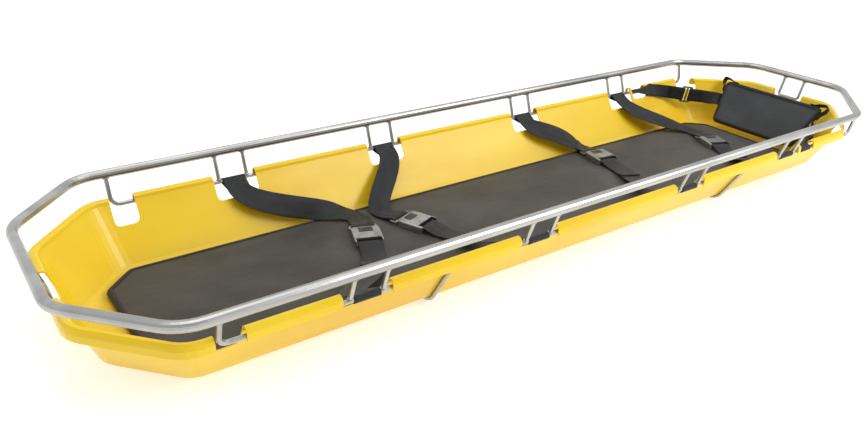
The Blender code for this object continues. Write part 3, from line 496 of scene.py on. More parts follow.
def pale_floor():
    """The white ground, glowing a little so that it meets the sky without an edge."""
    finish = Finish("pale_floor", {
        "Specular IOR Level": 0.1, "Emission Color": WHITE, "Emission Strength": FLOOR_GLOW})
    mottle = finish.noise(1.4, 3.0)
    return finish.set(
        Base_Color=finish.blend(mottle, (0.72, 0.72, 0.72), (0.76, 0.76, 0.76)),
        Roughness=mottle * 0.1 + 0.75,
    )


FINISHES = {
    "shell": moulded_plastic(),
    "steel": satin_steel(),
    "weld": weld_metal(),
    "buckle": plated_steel(),
    "button": button_plastic(),
    "pad": coated_fabric("pad_cover", (0.033, 0.030, 0.026), (0.060, 0.055, 0.049)),
    "footrest": coated_fabric("footrest_cover", (0.034, 0.036, 0.040), (0.062, 0.066, 0.072)),
    "binding": woven_strap("binding_tape", (0.010, 0.010, 0.010), (0.022, 0.021, 0.020), 0.004),
    "web": woven_strap("black_webbing", (0.008, 0.009, 0.011), (0.019, 0.021, 0.025), 0.0100),
    "thread": thread(),
}


def dress_nodes():
    for record in frame["record"]["subparts"]:
        finish = FINISHES.get(record["material_slot"])
        piece = frame["nodes"][record["node"]]
        for slot in piece.material_slots:
            slot.material = finish


# Modelling by hand


def clear_selection():
    if bpy.context.mode != "OBJECT":
        bpy.ops.object.mode_set(mode="OBJECT")
    bpy.ops.object.select_all(action="DESELECT")


def named(name):
    piece = bpy.context.active_object
    piece.name = piece.data.name = name
    return piece


def hold(piece):
    clear_selection()
    piece.select_set(True)
    bpy.context.view_layer.objects.active = piece


def edit(piece):
    hold(piece)
    bpy.ops.object.mode_set(mode="EDIT")


def pick(piece, kind, test):
    """Selects only the vertices, edges or faces that pass a test."""
    bpy.ops.mesh.select_mode(type={"verts": "VERT", "edges": "EDGE", "faces": "FACE"}[kind])
    bpy.ops.mesh.select_all(action="DESELECT")
    shape = bmesh.from_edit_mesh(piece.data)
    for item in getattr(shape, kind):
        if test(item):
            item.select_set(True)
    shape.select_flush_mode()
    bmesh.update_edit_mesh(piece.data)


def settle(piece):
    """Leaves edit mode, and puts the piece's place into its mesh and its modifiers on it."""
    hold(piece)
    for step in list(piece.modifiers):
        bpy.ops.object.modifier_apply(modifier=step.name)
    bpy.ops.object.transform_apply(location=True, rotation=True, scale=True)
    return piece


def smooth(piece, degrees):
    hold(piece)
    bpy.ops.object.shade_smooth_by_angle(angle=radians(degrees))
    return piece


def paint(piece, finish):
    piece.data.materials.clear()
    piece.data.materials.append(FINISHES[finish])
    return piece


def carry(piece, body, slot, *nodes):
    """The piece moves with a body, and stands for CAD nodes. The slot is not used."""
    if body:
        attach(piece, body)
    if nodes:
        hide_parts(*nodes)


def points_of(piece):
    table = np.empty(len(piece.data.vertices) * 3)
    piece.data.vertices.foreach_get("co", table)
    return table.reshape(-1, 3)


def corners_of(piece):
    """The vertex at each corner of each face."""
    table = np.empty(len(piece.data.loops), dtype=int)
    piece.data.loops.foreach_get("vertex_index", table)
    return table


def move_points(piece, table):
    piece.data.vertices.foreach_set("co", table.ravel())
    piece.data.update()


def repeated(name, master, places, finish):
    """One piece of many copies of a small master, each at its own place."""
    shape = points_of(master)
    faces = [tuple(face.vertices) for face in master.data.polygons]
    corners, polygons = [], []
    for count, place in enumerate(places):
        turn = np.array(place)
        corners.append(shape @ turn[:3, :3].T + turn[:3, 3])
        base = count * len(shape)
        polygons += [tuple(i + base for i in face) for face in faces]
    mesh = bpy.data.meshes.new(name)
    mesh.from_pydata(np.concatenate(corners).tolist(), [], polygons)
    piece = shown(name, mesh)
    return paint(smooth(piece, 60.0), finish)


def facing(point, along, normal, size):
    """A place whose x runs along and whose z is near the normal, scaled by a size."""
    x = along.normalized()
    y = normal.cross(x).normalized()
    return placed(x * size[0], y * size[1], x.cross(y) * size[2], point)


# Webbing


def woven(name, rows, width, finish="web", thick=WEB_THICK, closed=False):
    """Webbing through rows of points from edge to edge, with a UV map in metres."""
    count, across = len(rows), len(rows[0])
    clear_selection()
    bpy.ops.mesh.primitive_grid_add(
        x_subdivisions=across - 1, y_subdivisions=count - 1, size=1.0, calc_uvs=True)
    piece = named(name)
    flat = points_of(piece)
    column = np.rint((flat[:, 0] + 0.5) * (across - 1)).astype(int)
    line = np.rint((flat[:, 1] + 0.5) * (count - 1)).astype(int)
    table = np.array([[tuple(point) for point in row] for row in rows])
    middle = table[:, across // 2]
    run = np.concatenate([[0.0], np.cumsum(np.linalg.norm(np.diff(middle, axis=0), axis=1))])
    move_points(piece, table[line, column])
    corner = corners_of(piece)
    spots = np.stack([column[corner] * width / (across - 1), run[line[corner]]], axis=1)
    piece.data.uv_layers[0].data.foreach_set("uv", spots.ravel())
    piece.data.uv_layers[0].name = "UVMap"
    if closed:
        edit(piece)
        bpy.ops.mesh.select_all(action="SELECT")
        bpy.ops.mesh.remove_doubles(threshold=0.00005)
        clear_selection()
    body = piece.modifiers.new("thickness", "SOLIDIFY")
    body.thickness, body.offset = thick, 0.0
    body.use_even_offset = True
    soft = piece.modifiers.new("selvedge", "BEVEL")
    soft.width, soft.segments = thick * 0.28, 2
    soft.limit_method, soft.angle_limit = "ANGLE", radians(60)
    return paint(smooth(settle(piece), 50.0), finish)


def across_row(centre, half, columns=COLUMNS, cup=Vector((0, 0, 0))):
    """A row of points from edge to edge of webbing, cupped a little."""
    row = []
    for k in range(columns + 1):
        share = 2 * k / columns - 1
        row.append(centre + half * share + cup * (share * share - 0.5))
    return row


def bezier(points, t):
    a, b, c, d = points
    u = 1 - t
    return a * u**3 + b * 3 * u * u * t + c * 3 * u * t * t + d * t**3


def bezier_run(points, t):
    a, b, c, d = points
    u = 1 - t
    return ((b - a) * u * u + (c - b) * 2 * u * t + (d - c) * t * t).normalized()


def rod_part(x, sign):
    """Centres of webbing from its sewn end round a lower rod and off towards the pad."""
    run = Vector((0, -cos(WEB_FALL) * sign, -sin(WEB_FALL)))
    out = Vector((0, -sin(WEB_FALL) * sign, cos(WEB_FALL)))
    rod = Vector((x, ROD_Y * sign, ROD_Z))
    turn = ROD_R + WEB_SEAT
    free = rod + out * turn + run * SEWN_LENGTH
    end = free - out * (WEB_THICK + 2 * GAP) - run * SEWN_BACK
    wrap = [rod + (out * cos(a) - run * sin(a)) * turn for a in turns(210, -1, -15)]
    sewn = [end.lerp(wrap[0], share) for share in (0.0, 0.25, 0.5, 0.75)]
    free_run = [wrap[-1].lerp(free, share) for share in (0.25, 0.5, 0.75, 1.0)]
    return sewn + wrap + free_run, run


def hung_part(first, leaving, last, arriving, across, sign, bow):
    """Rows of webbing in the air, turned from square to the rod to square to the buckle."""
    reach = (last - first).length
    room = (FLOOR_HALF + WEB_LEVEL_PAST - abs(last.y)) / abs(arriving.y)
    pull = SHORT_PULL if bow else max(SHORT_PULL, min(reach * BUCKLE_PULL, room))
    curve = (first, first + leaving * reach * ROD_PULL, last - arriving * pull, last)
    rows = []
    for k in range(1, HUNG_ROWS + 1):
        t = k / HUNG_ROWS
        run = bezier_run(curve, t)
        turn = ease(t)
        square = Vector((sign, 0, 0)).lerp(across, turn)
        square -= run * square.dot(run)
        square.z *= 1 - turn
        square.normalize()
        swing = sin(pi * t) ** 2
        rows.append(across_row(bezier(curve, t) + UP * bow * swing, square * WEB_WIDTH / 2,
                               cup=square.cross(run) * sign * CUP * swing))
    return rows


def bar_loop(bar, run, up, low, thick, tail, reach=LOOP_RUN):
    """Centres of webbing under a bar, round its far edge and back above itself."""
    turn = thick / 2 + GAP * 2 + WEB_THICK / 2
    edge = -BAR / 2 - WEB_THICK
    ramp = edge - LOOP_RAMP
    centre = BAR / 2 + GAP
    rest = -low + WEB_THICK + 2 * GAP
    points = [(-reach, -low), ((ramp - reach) / 2, -(turn + low * 3) / 4),
              (ramp, -(turn + low) / 2), (edge, -turn), (0, -turn)]
    points += [(centre + turn * sin(a), -turn * cos(a)) for a in turns(0, 181, 18)]
    points += [(0, turn), (edge, turn), (ramp, (turn + rest) / 2), (-reach, rest)]
    if tail > reach:
        points.append((-tail, rest))
    return [bar + run * u + up * w for u, w in points]


def upward(normal):
    """The unit normal on the upper side."""
    return normal.normalized() * (-1 if normal.z < 0 else 1)


def tail_part(rows, length, hem):
    """Rows of the webbing's tail, back along the top of the webbing that it came from."""
    lift = WEB_THICK + 2 * GAP
    made, past = [], 0.0
    for row, before in zip(reversed(rows[:-1]), reversed(rows[1:])):
        past += (row[MIDDLE] - before[MIDDLE]).length
        if past > length:
            break
        normal = upward((row[-1] - row[0]).cross(before[MIDDLE] - row[MIDDLE]))
        made.append([point + normal * lift for point in row])
    if hem:
        back = (made[-2][MIDDLE] - made[-1][MIDDLE]).normalized()
        fold = (WEB_THICK + GAP) / 2
        last = made[-1]
        for angle in turns(36, 181, 36):
            shift = normal * (fold - fold * cos(angle)) - back * fold * sin(angle)
            made.append([point + shift for point in last])
        for step in (HEM / 2, HEM):
            made.append([point + normal * 2 * fold + back * step for point in last])
    return made


def buckle_matrix(station):
    x, y, heading = BUCKLES[station]
    return Matrix.Translation((x, y, PAD_TOP)) @ Matrix.Rotation(radians(heading), 4, "Z")


def restraint_rows(station, side, sign):
    """A webbing's rows from the rod to its tail, where its free part starts, and its end."""
    x, y, degrees = BUCKLES[station]
    heading = radians(degrees)
    ahead = Vector((cos(heading), sin(heading), 0))
    run = -ahead * sign
    across = Vector((-run.y, run.x, 0))
    thick = BLADE_THICK if side == "left" else REAR_BAR
    bar = Vector((x, y, PAD_TOP + BLADE_MID)) + ahead * BAR_PLACE[side]
    short = (station, side) in SHORT_LOOP
    reach = SHORT_LOOP[station, side] if short else LOOP_RUN
    loop = bar_loop(bar, run, UP, BLADE_MID - WEB_SEAT, thick, reach, reach)
    centres, leaving = rod_part(STATIONS[station], sign)
    half = Vector((WEB_WIDTH / 2 * sign, 0, 0))
    rows = [across_row(centre, half) for centre in centres]
    rows += hung_part(centres[-1], leaving, loop[0], run, across, sign,
                      SHORT_BOW if short else 0)
    tail = tail_part(rows, TAILS[side] - reach, side == "right")
    rows += [across_row(point, across * WEB_WIDTH / 2) for point in loop[1:]]
    rows += tail
    return rows, rows[ROD_ROWS + 1][MIDDLE], bar - run * (reach + BLEND_OFF)


# Sewing


def thread_master():
    """One stitch: a grain of thread, one unit long on x, pinched where it goes down."""
    clear_selection()
    bpy.ops.mesh.primitive_uv_sphere_add(segments=6, ring_count=5, radius=0.5,
                                         rotation=(0, radians(90), 0))
    piece = settle(named("thread_master"))
    table = points_of(piece)
    table[:, 1:] *= 0.34 * (1.2 - np.abs(table[:, :1]))
    move_points(piece, table)
    return piece


def row_point(rows, across, length, lift):
    """A point and normal on webbing: across from -1 to 1, and a length from the first row."""
    past = 0.0
    for back, front in zip(rows, rows[1:]):
        step = (front[MIDDLE] - back[MIDDLE]).length
        if past + step >= length:
            break
        past += step
    share = min(1.0, max(0.0, (length - past) / step))
    low, high = back[0].lerp(front[0], share), back[-1].lerp(front[-1], share)
    normal = upward((front[MIDDLE] - back[MIDDLE]).cross(high - low))
    centre = back[MIDDLE].lerp(front[MIDDLE], share)
    return centre + (high - low) / 2 * across + normal * lift, normal


def stitch_line(spot, start, end):
    """Stitches between two places of a surface, where spot gives a point and normal."""
    first, last = spot(*start)[0], spot(*end)[0]
    count = max(1, round((last - first).length / STITCH))
    made = []
    for k in range(count):
        at = [[a + (b - a) * (k + part) / count for a, b in zip(start, end)]
              for part in (0.12, 0.5, 0.88)]
        head, (middle, normal), tail = spot(*at[0])[0], spot(*at[1]), spot(*at[2])[0]
        size = (tail - head).length
        made.append(facing(middle, tail - head, normal, (size, STITCH_WIDE, STITCH_HIGH)))
    return made


def box_stitch(spot, low, high):
    """A sewn box with its diagonals, between two corners."""
    a, b, c, d = (low[0], low[1]), (high[0], low[1]), (high[0], high[1]), (low[0], high[1])
    made = []
    for start, end in ((a, b), (b, c), (c, d), (d, a), (a, c), (b, d)):
        made += stitch_line(spot, start, end)
    return made


def run_length(rows):
    return sum((b[MIDDLE] - a[MIDDLE]).length for a, b in zip(rows, rows[1:]))


def make_restraints(master):
    """The eight restraint webbings and their sewing; gives the points that press on the pad."""
    pressed = []
    for station in STATIONS:
        for side, sign in SIDES:
            rows, start, end = restraint_rows(station, side, sign)
            piece = woven(f"{station}_strap_{side}", rows, WEB_WIDTH)
            node = f"{station}_webbing_{side}"
            if side == "left":
                tuple(start)
                tuple(end)
                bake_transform(piece)
                carry(piece, None, "web", node)
            else:
                carry(piece, "stretcher", "web", node)
            pressed += [row[k] for row in rows for k in (0, MIDDLE, COLUMNS)
                        if row[MIDDLE].z < PAD_TOP + PRESS_NEAR]
            sew_restraint(f"{station}_sewing_{side}", rows, side, master)
    return pressed


def sew_restraint(name, rows, side, master):
    """Box stitching through the layers by the rod, and rows across the folded tail."""
    whole = run_length(rows)
    at_rod = run_length(rows[:ROD_ROWS])

    def spot(across, length):
        return row_point(rows, across, length, WEB_THICK / 2 + STITCH_LIFT)

    made = box_stitch(spot, (-BOX_HALF, at_rod - BOX_FAR), (BOX_HALF, at_rod - BOX_NEAR))
    if side == "right":
        for back in HEM_STITCHES:
            made += stitch_line(spot, (-HEM_HALF, whole - back), (HEM_HALF, whole - back))
    carry(repeated(name, master, made, "thread"), "stretcher", "web")


# Padded pieces


def outline_points(shape, radius, steps=4):
    """A closed outline with rounded corners, in two dimensions."""
    points = []
    count = len(shape)
    for i, corner in enumerate(shape):
        back = (shape[i - 1] - corner).normalized()
        front = (shape[(i + 1) % count] - corner).normalized()
        half = back.angle(front) / 2
        reach = radius / tan(half)
        centre = corner + (back + front).normalized() * (radius / sin(half))
        start, end = corner + back * reach - centre, corner + front * reach - centre
        sweep = pi - 2 * half
        for k in range(steps + 1):
            t = k / steps
            points.append(
                centre + (start * sin((1 - t) * sweep) + end * sin(t * sweep)) / sin(sweep))
    return points


def evenly(points, pitch):
    """The outline's points again at an even pitch, closed."""
    ring = points + points[:1]
    runs = [0.0]
    for a, b in zip(ring, ring[1:]):
        runs.append(runs[-1] + (b - a).length)
    count = round(runs[-1] / pitch)
    made, k = [], 0
    for i in range(count):
        along = runs[-1] * i / count
        while runs[k + 1] < along:
            k += 1
        share = (along - runs[k]) / (runs[k + 1] - runs[k])
        made.append(ring[k].lerp(ring[k + 1], share))
    return made


def along_at(ring, i):
    """The way round a closed outline at one of its points."""
    return ring[(i + 1) % len(ring)] - ring[i - 1]


def inward(run):
    """The way in from an outline that runs so, to its left."""
    return Vector((-run.y, run.x)).normalized()


def distance_in(table, ring):
    """How far each point lies inside a closed convex outline."""
    near = np.full(len(table), FAR)
    for corner, following in zip(ring, ring[1:] + ring[:1]):
        if (following - corner).length > CLOSE:
            way = inward(following - corner)
            near = np.minimum(near, (table[:, 0] - corner.x) * way.x
                              + (table[:, 1] - corner.y) * way.y)
    return near


def swell(piece, ring, thick, cap, shrink):
    """Blows the cover up as cloth, held at its bound edge and underside.

    No point moves further than the cap, and the top is then smoothed clear of the edge.
    """
    start = points_of(piece)
    depth = distance_in(start, ring)
    held = np.logical_or(depth < BOUND_EDGE, start[:, 2] < thick * 0.3)
    edge = piece.vertex_groups.new(name="bound_edge")
    edge.add([int(i) for i in np.nonzero(held)[0]], 1.0, "REPLACE")
    step = piece.modifiers.new("cover", "CLOTH")
    cloth = step.settings
    cloth.quality = 4
    cloth.mass = 0.25
    cloth.tension_stiffness = cloth.compression_stiffness = 12
    cloth.bending_stiffness = 0.6
    cloth.use_pressure = True
    cloth.uniform_pressure_force = SWELL_PRESSURE
    cloth.shrink_min = shrink
    cloth.vertex_group_mass = "bound_edge"
    cloth.effector_weights.gravity = 0
    step.point_cache.frame_start, step.point_cache.frame_end = 1, SWELL_FRAMES
    scene = bpy.context.scene
    for number in range(1, SWELL_FRAMES + 1):
        scene.frame_set(number)
    hold(piece)
    bpy.ops.object.modifier_apply(modifier="cover")
    scene.frame_set(1)
    moved = points_of(piece) - start
    size = np.linalg.norm(moved, axis=1, keepdims=True)
    moved *= np.minimum(1.0, cap / np.maximum(size, CLOSE))
    move_points(piece, start + moved)
    edit(piece)
    pick(piece, "verts", lambda v: v.co.z > thick * 0.8 and depth[v.index] > SMOOTH_FROM)
    bpy.ops.mesh.vertices_smooth(factor=0.5, repeat=24)
    bpy.ops.object.mode_set(mode="OBJECT")


def cover_uv(piece):
    """A UV map in metres from the cover's own x and y, set before it is put in place."""
    layer = piece.data.uv_layers.new(name="UVMap")
    layer.data.foreach_set("uv", points_of(piece)[corners_of(piece)][:, :2].ravel())


def upright(edge):
    return abs((edge.verts[0].co - edge.verts[1].co).normalized().z) > 0.9


def bevel_upright(piece, test, size, segments):
    pick(piece, "edges", lambda e: upright(e) and test(e.verts[0].co))
    bpy.ops.mesh.bevel(offset=size, segments=segments, affect="EDGES")


def soften_rims(piece, size):
    pick(piece, "edges", lambda e: not upright(e))
    bpy.ops.mesh.bevel(offset=size, segments=2, affect="EDGES")


def voxels(piece, size):
    hold(piece)
    piece.data.remesh_voxel_size = size
    bpy.ops.object.voxel_remesh()


def pad_ring():
    """The pad's plan, with its cut corners."""
    upper = [
        Vector((PAD_FOOT, PAD_HALF - PAD_FOOT_CUT)),
        Vector((PAD_FOOT - PAD_FOOT_CUT, PAD_HALF)),
        Vector((PAD_HEAD_CUT - PAD_HEAD, PAD_HALF)),
        Vector((-PAD_HEAD, PAD_HALF - PAD_HEAD_CUT)),
    ]
    lower = [Vector((p.x, -p.y)) for p in reversed(upper)]
    return outline_points(upper + lower, PAD_CORNER)


def make_pad(pressed, master):
    """The mattress pad: foam in a coated cover, pressed flat under the straps and buckles."""
    clear_selection()
    bpy.ops.mesh.primitive_cube_add(
        size=1.0, calc_uvs=False,
        location=((PAD_FOOT - PAD_HEAD) / 2, 0, PAD_THICK / 2 + 0.0002),
        scale=(PAD_HEAD + PAD_FOOT - COVER_SLACK, PAD_HALF * 2 - COVER_SLACK,
               PAD_THICK - 0.0012))
    piece = settle(named("mattress_cover"))
    edit(piece)
    bevel_upright(piece, lambda p: p.x > 0, PAD_FOOT_CUT, segments=1)
    bevel_upright(piece, lambda p: p.x < -PAD_FOOT, PAD_HEAD_CUT, segments=1)
    bevel_upright(piece, lambda p: True, 0.0075, segments=3)
    soften_rims(piece, size=0.004)
    voxels(piece, PAD_VOXEL)
    ring = pad_ring()
    swell(piece, ring, PAD_THICK, cap=0.006, shrink=0.004)
    press_flat(piece, ring, pressed)
    cover_uv(piece)
    place = Matrix.Translation((0, 0, PAD_BASE))
    piece.data.transform(place)
    paint(smooth(piece, 180.0), "pad")
    carry(piece, "stretcher", "pad", "mattress_pad")
    binding = bind_edge("mattress_binding", ring, PAD_THICK, place, *PAD_TAPE)
    carry(binding, "stretcher", "pad")
    seam = bind_seam("mattress_sewing", ring, PAD_THICK, place, *PAD_SEAM, master)
    carry(seam, "stretcher", "pad")


def press_flat(piece, ring, pressed):
    """Lowers the pad's top to a shallow dome, flat where something lies on it and at its edge."""
    table = points_of(piece)
    near = np.full(len(table), FAR)
    for point in pressed:
        near = np.minimum(near, np.hypot(table[:, 0] - point.x, table[:, 1] - point.y))
    free = ease((near - PRESS_CLEAR) / PRESS_REACH)
    inside = ease((distance_in(table, ring) - DOME_START) / DOME_REACH)
    top = PAD_THICK - GAP + PAD_DOME * free * inside - EDGE_DROP * (1 - inside)
    middle = PAD_THICK * 0.5
    height = table[:, 2]
    raised = middle + (top - middle) * np.tanh((height - middle) / (top - middle) * 1.25) / 0.88
    table[:, 2] = np.where(height > middle, np.minimum(raised, top), np.maximum(height, 0))
    move_points(piece, table)


def bind_edge(name, ring, thick, place, over, pitch):
    """Tape folded round the bound edge: each row goes from the top to the underside."""
    ring = evenly(ring, pitch)
    profile = [(over, thick - 0.0001), (over * 0.55, thick), (0.0035, thick - 0.0008),
               (0.0008, thick * 0.76), (0.0, thick * 0.5), (0.0012, thick * 0.24),
               (0.0045, 0.0012), (over * 0.9, 0.0009)]
    rows = []
    for i in [*range(len(ring)), 0]:
        way = inward(along_at(ring, i))
        rows.append([place @ Vector((*(ring[i] + way * (deep - TAPE_OUT)), z))
                     for deep, z in profile])
    return woven(name, rows, TAPE_WIDTH, "binding", TAPE_THICK, closed=True)


def bind_seam(name, ring, thick, place, deep, pitch, master):
    """A row of stitches along the tape on the upper face."""
    ring = evenly(ring, pitch)
    turn = place.to_3x3()
    made = []
    for i, corner in enumerate(ring):
        run = along_at(ring, i)
        point = place @ Vector((*(corner + inward(run) * deep), thick + SEAM_LIFT))
        made.append(facing(point, turn @ Vector((*run, 0)), turn @ UP,
                           (pitch * 0.72, SEAM_WIDE, SEAM_HIGH)))
    return repeated(name, master, made, "thread")


# Footrest


def board_frame():
    """The footrest's own frame: x across, y up the board and z out of its face."""
    up = Vector((BOARD_LEAN, 0, BOARD_RISE)).normalized()
    across = Vector((0, -1, 0))
    return placed(across, up, across.cross(up), (BOARD_X, 0, BOARD_Z))


BOARD = board_frame()
BOARD_LENGTH = hypot(BOARD_LEAN, BOARD_RISE)


def board_half(height):
    """Half the board's width at a height up it, clear of the rim's slanted plan."""
    slant = Vector((FOOT_CUT_Y, FOOT_CUT_X)).normalized()
    reach = slant.dot(Vector((HALF_X, HALF_Y - FOOT_CUT_Y))) - RIM_INSET
    rim = min(HALF_Y - RIM_INSET, (reach - slant.x * (BOARD_X + BOARD_LEAN)) / slant.y)
    return rim - BOARD_TOP_GAP - BOARD_TAPER * (1 - height / BOARD_LENGTH)


def make_board(master):
    """The footrest: a padded board, wider at its top, in a bound cover."""
    clear_selection()
    low, high = (board_half(height) - COVER_SLACK / 2 for height in (0, BOARD_LENGTH))
    bpy.ops.mesh.primitive_cube_add(
        size=1.0, calc_uvs=False, location=(0, BOARD_LENGTH / 2, BOARD_THICK / 2),
        scale=(high * 2, BOARD_LENGTH - COVER_SLACK, BOARD_THICK - 0.003))
    piece = settle(named("footrest_cover_piece"))
    edit(piece)
    pick(piece, "verts", lambda v: v.co.y < BOARD_LENGTH / 2)
    bpy.ops.transform.resize(value=(low / high, 1, 1))
    bevel_upright(piece, lambda p: True, BOARD_CORNER, segments=4)
    soften_rims(piece, size=0.005)
    voxels(piece, BOARD_VOXEL)
    ring = outline_points([Vector((board_half(height) * side, height)) for side, height in (
        (-1, 0), (1, 0), (1, BOARD_LENGTH), (-1, BOARD_LENGTH))], BOARD_CORNER)
    swell(piece, ring, BOARD_THICK, cap=0.005, shrink=0.006)
    table = points_of(piece)
    table[:, 2] = np.clip(table[:, 2], 0.0, BOARD_THICK + BOARD_DOME)
    move_points(piece, table)
    level = piece.modifiers.new("smooth_cover", "SUBSURF")
    level.levels = level.render_levels = 1
    settle(piece)
    cover_uv(piece)
    place = BOARD @ Matrix.Translation((0, 0, -BOARD_THICK))
    piece.data.transform(place)
    paint(smooth(piece, 180.0), "footrest")
    carry(piece, "footrest", "pad", "footrest_board")
    binding = bind_edge("footrest_binding", ring, BOARD_THICK, place, *BOARD_TAPE)
    carry(binding, "footrest", "pad")
    seam = bind_seam("footrest_sewing", ring, BOARD_THICK, place, *BOARD_SEAM, master)
    carry(seam, "footrest", "pad")


def board_spot(sign, out, height, back):
    """A place out from the board's side, up it, and back from its face."""
    side = board_half(height) + out
    return BOARD @ Vector((-side * sign, height, -back))


def by_rod(sign, offset):
    """A place by the lower rod: along, out and up from where the strap goes round it."""
    x, y, z = offset
    return Vector((STRAP_X + x, (ROD_Y + y) * sign, ROD_Z + z))


def strap_line(sign):
    """The free stretch of a footrest strap: its ends, run, across and way out."""
    start = by_rod(sign, STRAP_START)
    board = board_spot(sign, WEB_THICK / 2 + GAP * 2, STRAP_HEIGHT, 0.0)
    run = (board - start).normalized()
    across = (UP - run * run.z).normalized()
    return start, board, run, across, run.cross(across) * sign


def wall_slope():
    """How far out the leaning wall goes for each unit up."""
    y = FLOOR_HALF + FLOOR_RADIUS * sin(WALL_ANGLE)
    z = FLOOR_TOP + FLOOR_RADIUS * (1 - cos(WALL_ANGLE))
    return (HALF_Y - RIM_INSET - y) / (ROLL_Z - z)


def catmull(knots, t):
    """Between the second and third of four knots, through both."""
    a, b, c, d = knots
    return 0.5 * ((2 * b) + (c - a) * t + (2 * a - 5 * b + 4 * c - d) * t * t
                  + (3 * b - a - 3 * c + d) * t**3)


def spline_frames(knots, samples):
    """A smooth run of points and ways across, through knots of the same."""
    frames = []
    count = len(knots)
    for i in range(count - 1):
        near = [knots[max(0, min(count - 1, i + k))] for k in (-1, 0, 1, 2)]
        for k in range(samples[i]):
            t = k / samples[i]
            frames.append((catmull([q[0] for q in near], t),
                           catmull([q[1] for q in near], t).normalized()))
    frames.append(knots[-1])
    return frames


def strap_from(name, frames, width, columns=COLUMNS):
    """Webbing along frames of a point and the way across."""
    rows = [across_row(point, across.normalized() * width / 2, columns)
            for point, across in frames]
    return woven(name, rows, width)


def make_foot_straps():
    for side, sign in SIDES:
        start, board, run, _, _ = strap_line(sign)
        half = (ADJUSTER_LENGTH - BAR) / 2
        middle = start.lerp(board, ADJUSTER_SHARE)
        make_foot_strap(side, sign, middle - run * half)
        make_foot_tail(side, sign, middle + run * half)
        make_corner_loop(side, sign)


def make_foot_strap(side, sign, bar):
    """A strap round a lower rod, in through the shell's notch, and down to its adjuster."""
    start, _, run, across, normal = strap_line(sign)
    rod = by_rod(sign, (0, 0, 0))
    turn = ROD_R + WEB_SEAT
    wrap = [(rod + Vector((0, sign * cos(a) * turn, sin(a) * turn)), Vector((1, 0, 0)))
            for a in [*turns(215, 456, 15), radians(460)]]
    slope = Vector((0, wall_slope() * sign, 1)).normalized()
    inside = by_rod(sign, [a + b for a, b in zip(STRAP_START, STRAP_INSIDE)])
    knots = [
        wrap[-1],
        (by_rod(sign, STRAP_GATE), Vector((0.95, 0, 0.32))),
        (inside, (slope + Vector((0.55, 0, 0))).normalized()),
        (start, slope),
        (bar - run * LOOP_RUN - normal * ADJUSTER_LOW, across),
    ]
    loop = bar_loop(bar, run, normal, ADJUSTER_LOW, ADJUSTER_THICK, LOOP_RUN + BAR)
    frames = wrap[:-1] + spline_frames(knots, (5, 7, 5, 10))[:-1] + [(p, across) for p in loop]
    piece = strap_from(f"footrest_strap_piece_{side}", frames, STRAP_WIDTH)
    tuple(start)
    tuple(bar - run * (LOOP_RUN + BAR + BLEND_OFF))
    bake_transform(piece)
    carry(piece, None, "web", f"footrest_strap_{side}")


def make_foot_tail(side, sign, bar):
    """A tail from the adjuster to the board's side, round it and along its back."""
    _, board, run, across, normal = strap_line(sign)
    up = (board_spot(sign, 0, STRAP_HEIGHT + STRAP_WIDTH, 0)
          - board_spot(sign, 0, STRAP_HEIGHT, 0)).normalized()
    off = WEB_THICK / 2 + 2 * GAP
    back = [(board_spot(sign, -STRAP_BACK * (1 - k / 4), STRAP_HEIGHT, BOARD_THICK + off), up)
            for k in range(4)]
    for angle in turns(0, 91, 15):
        out = off * cos(pi / 2 - angle) if angle else 0.0
        back.append((board_spot(sign, out, STRAP_HEIGHT, BOARD_THICK + off * cos(angle)), up))
    back += [(board_spot(sign, off, STRAP_HEIGHT, BOARD_THICK * k / 3), up) for k in (2, 1)]
    back += [(board.lerp(bar, share), up.lerp(across, twist))
             for share, twist in ((0.0, 0.0), (0.1, 0.17), (0.2, 0.34), (0.3, 0.5))]
    loop = bar_loop(bar, -run, normal, ADJUSTER_LOW, ADJUSTER_THICK, LOOP_RUN + BAR)
    frames = back + [(point, across) for point in loop]
    piece = strap_from(f"footrest_tail_piece_{side}", frames, STRAP_WIDTH)
    carry(piece, "footrest", "web", f"footrest_tail_{side}")


def make_corner_loop(side, sign):
    """A sewn loop of narrow webbing that stands on the board's upper corner."""
    face = BOARD.to_3x3() @ UP
    knots = [(board_spot(sign, out, BOARD_LENGTH + up, BOARD_THICK / 2), face)
             for out, up in LOOP_KNOTS]
    frames = spline_frames(knots, (3, 6, 7, 7, 6, 3))
    piece = strap_from(f"footrest_loop_piece_{side}", frames, LOOP_WIDTH, 4)
    carry(piece, "footrest", "web", f"footrest_loop_{side}")


# Welds and rivets


def rail_y(x):
    """How far out the rail's centre line is at x, on its straight runs."""
    for end, cut_x, cut_y in ((1, FOOT_CUT_X, FOOT_CUT_Y), (-1, HEAD_CUT_X, HEAD_CUT_Y)):
        past = x * end - (HALF_X - cut_x)
        if past > 0:
            return HALF_Y - cut_y * past / cut_x
    return HALF_Y


def bead_master():
    """A fillet weld round a bar of unit radius on z: a ring with the ripples of its passes."""
    clear_selection()
    bpy.ops.mesh.primitive_torus_add(
        major_segments=30, minor_segments=7, major_radius=1.06, minor_radius=0.30)
    piece = settle(named("bead_master"))
    table = points_of(piece)
    angle = np.arctan2(table[:, 1], table[:, 0])
    ripple = 1 + 0.22 * np.abs(np.sin(angle * 5)) ** 1.5
    radius = 1.0 + (np.hypot(table[:, 0], table[:, 1]) - 1.0) * ripple
    table[:, 0], table[:, 1] = radius * np.cos(angle), radius * np.sin(angle)
    table[:, 2] = table[:, 2] * ripple * 1.1
    move_points(piece, table)
    return piece


def bead(end, other, radius, off):
    """A weld where a bar to another point ends at a tube, off the tube's centre line."""
    axis = (other - end).normalized()
    x = Vector((1, 0, 0)).cross(axis).normalized()
    y = axis.cross(x)
    return placed(x * radius, y * radius, axis * radius, end + axis * off)


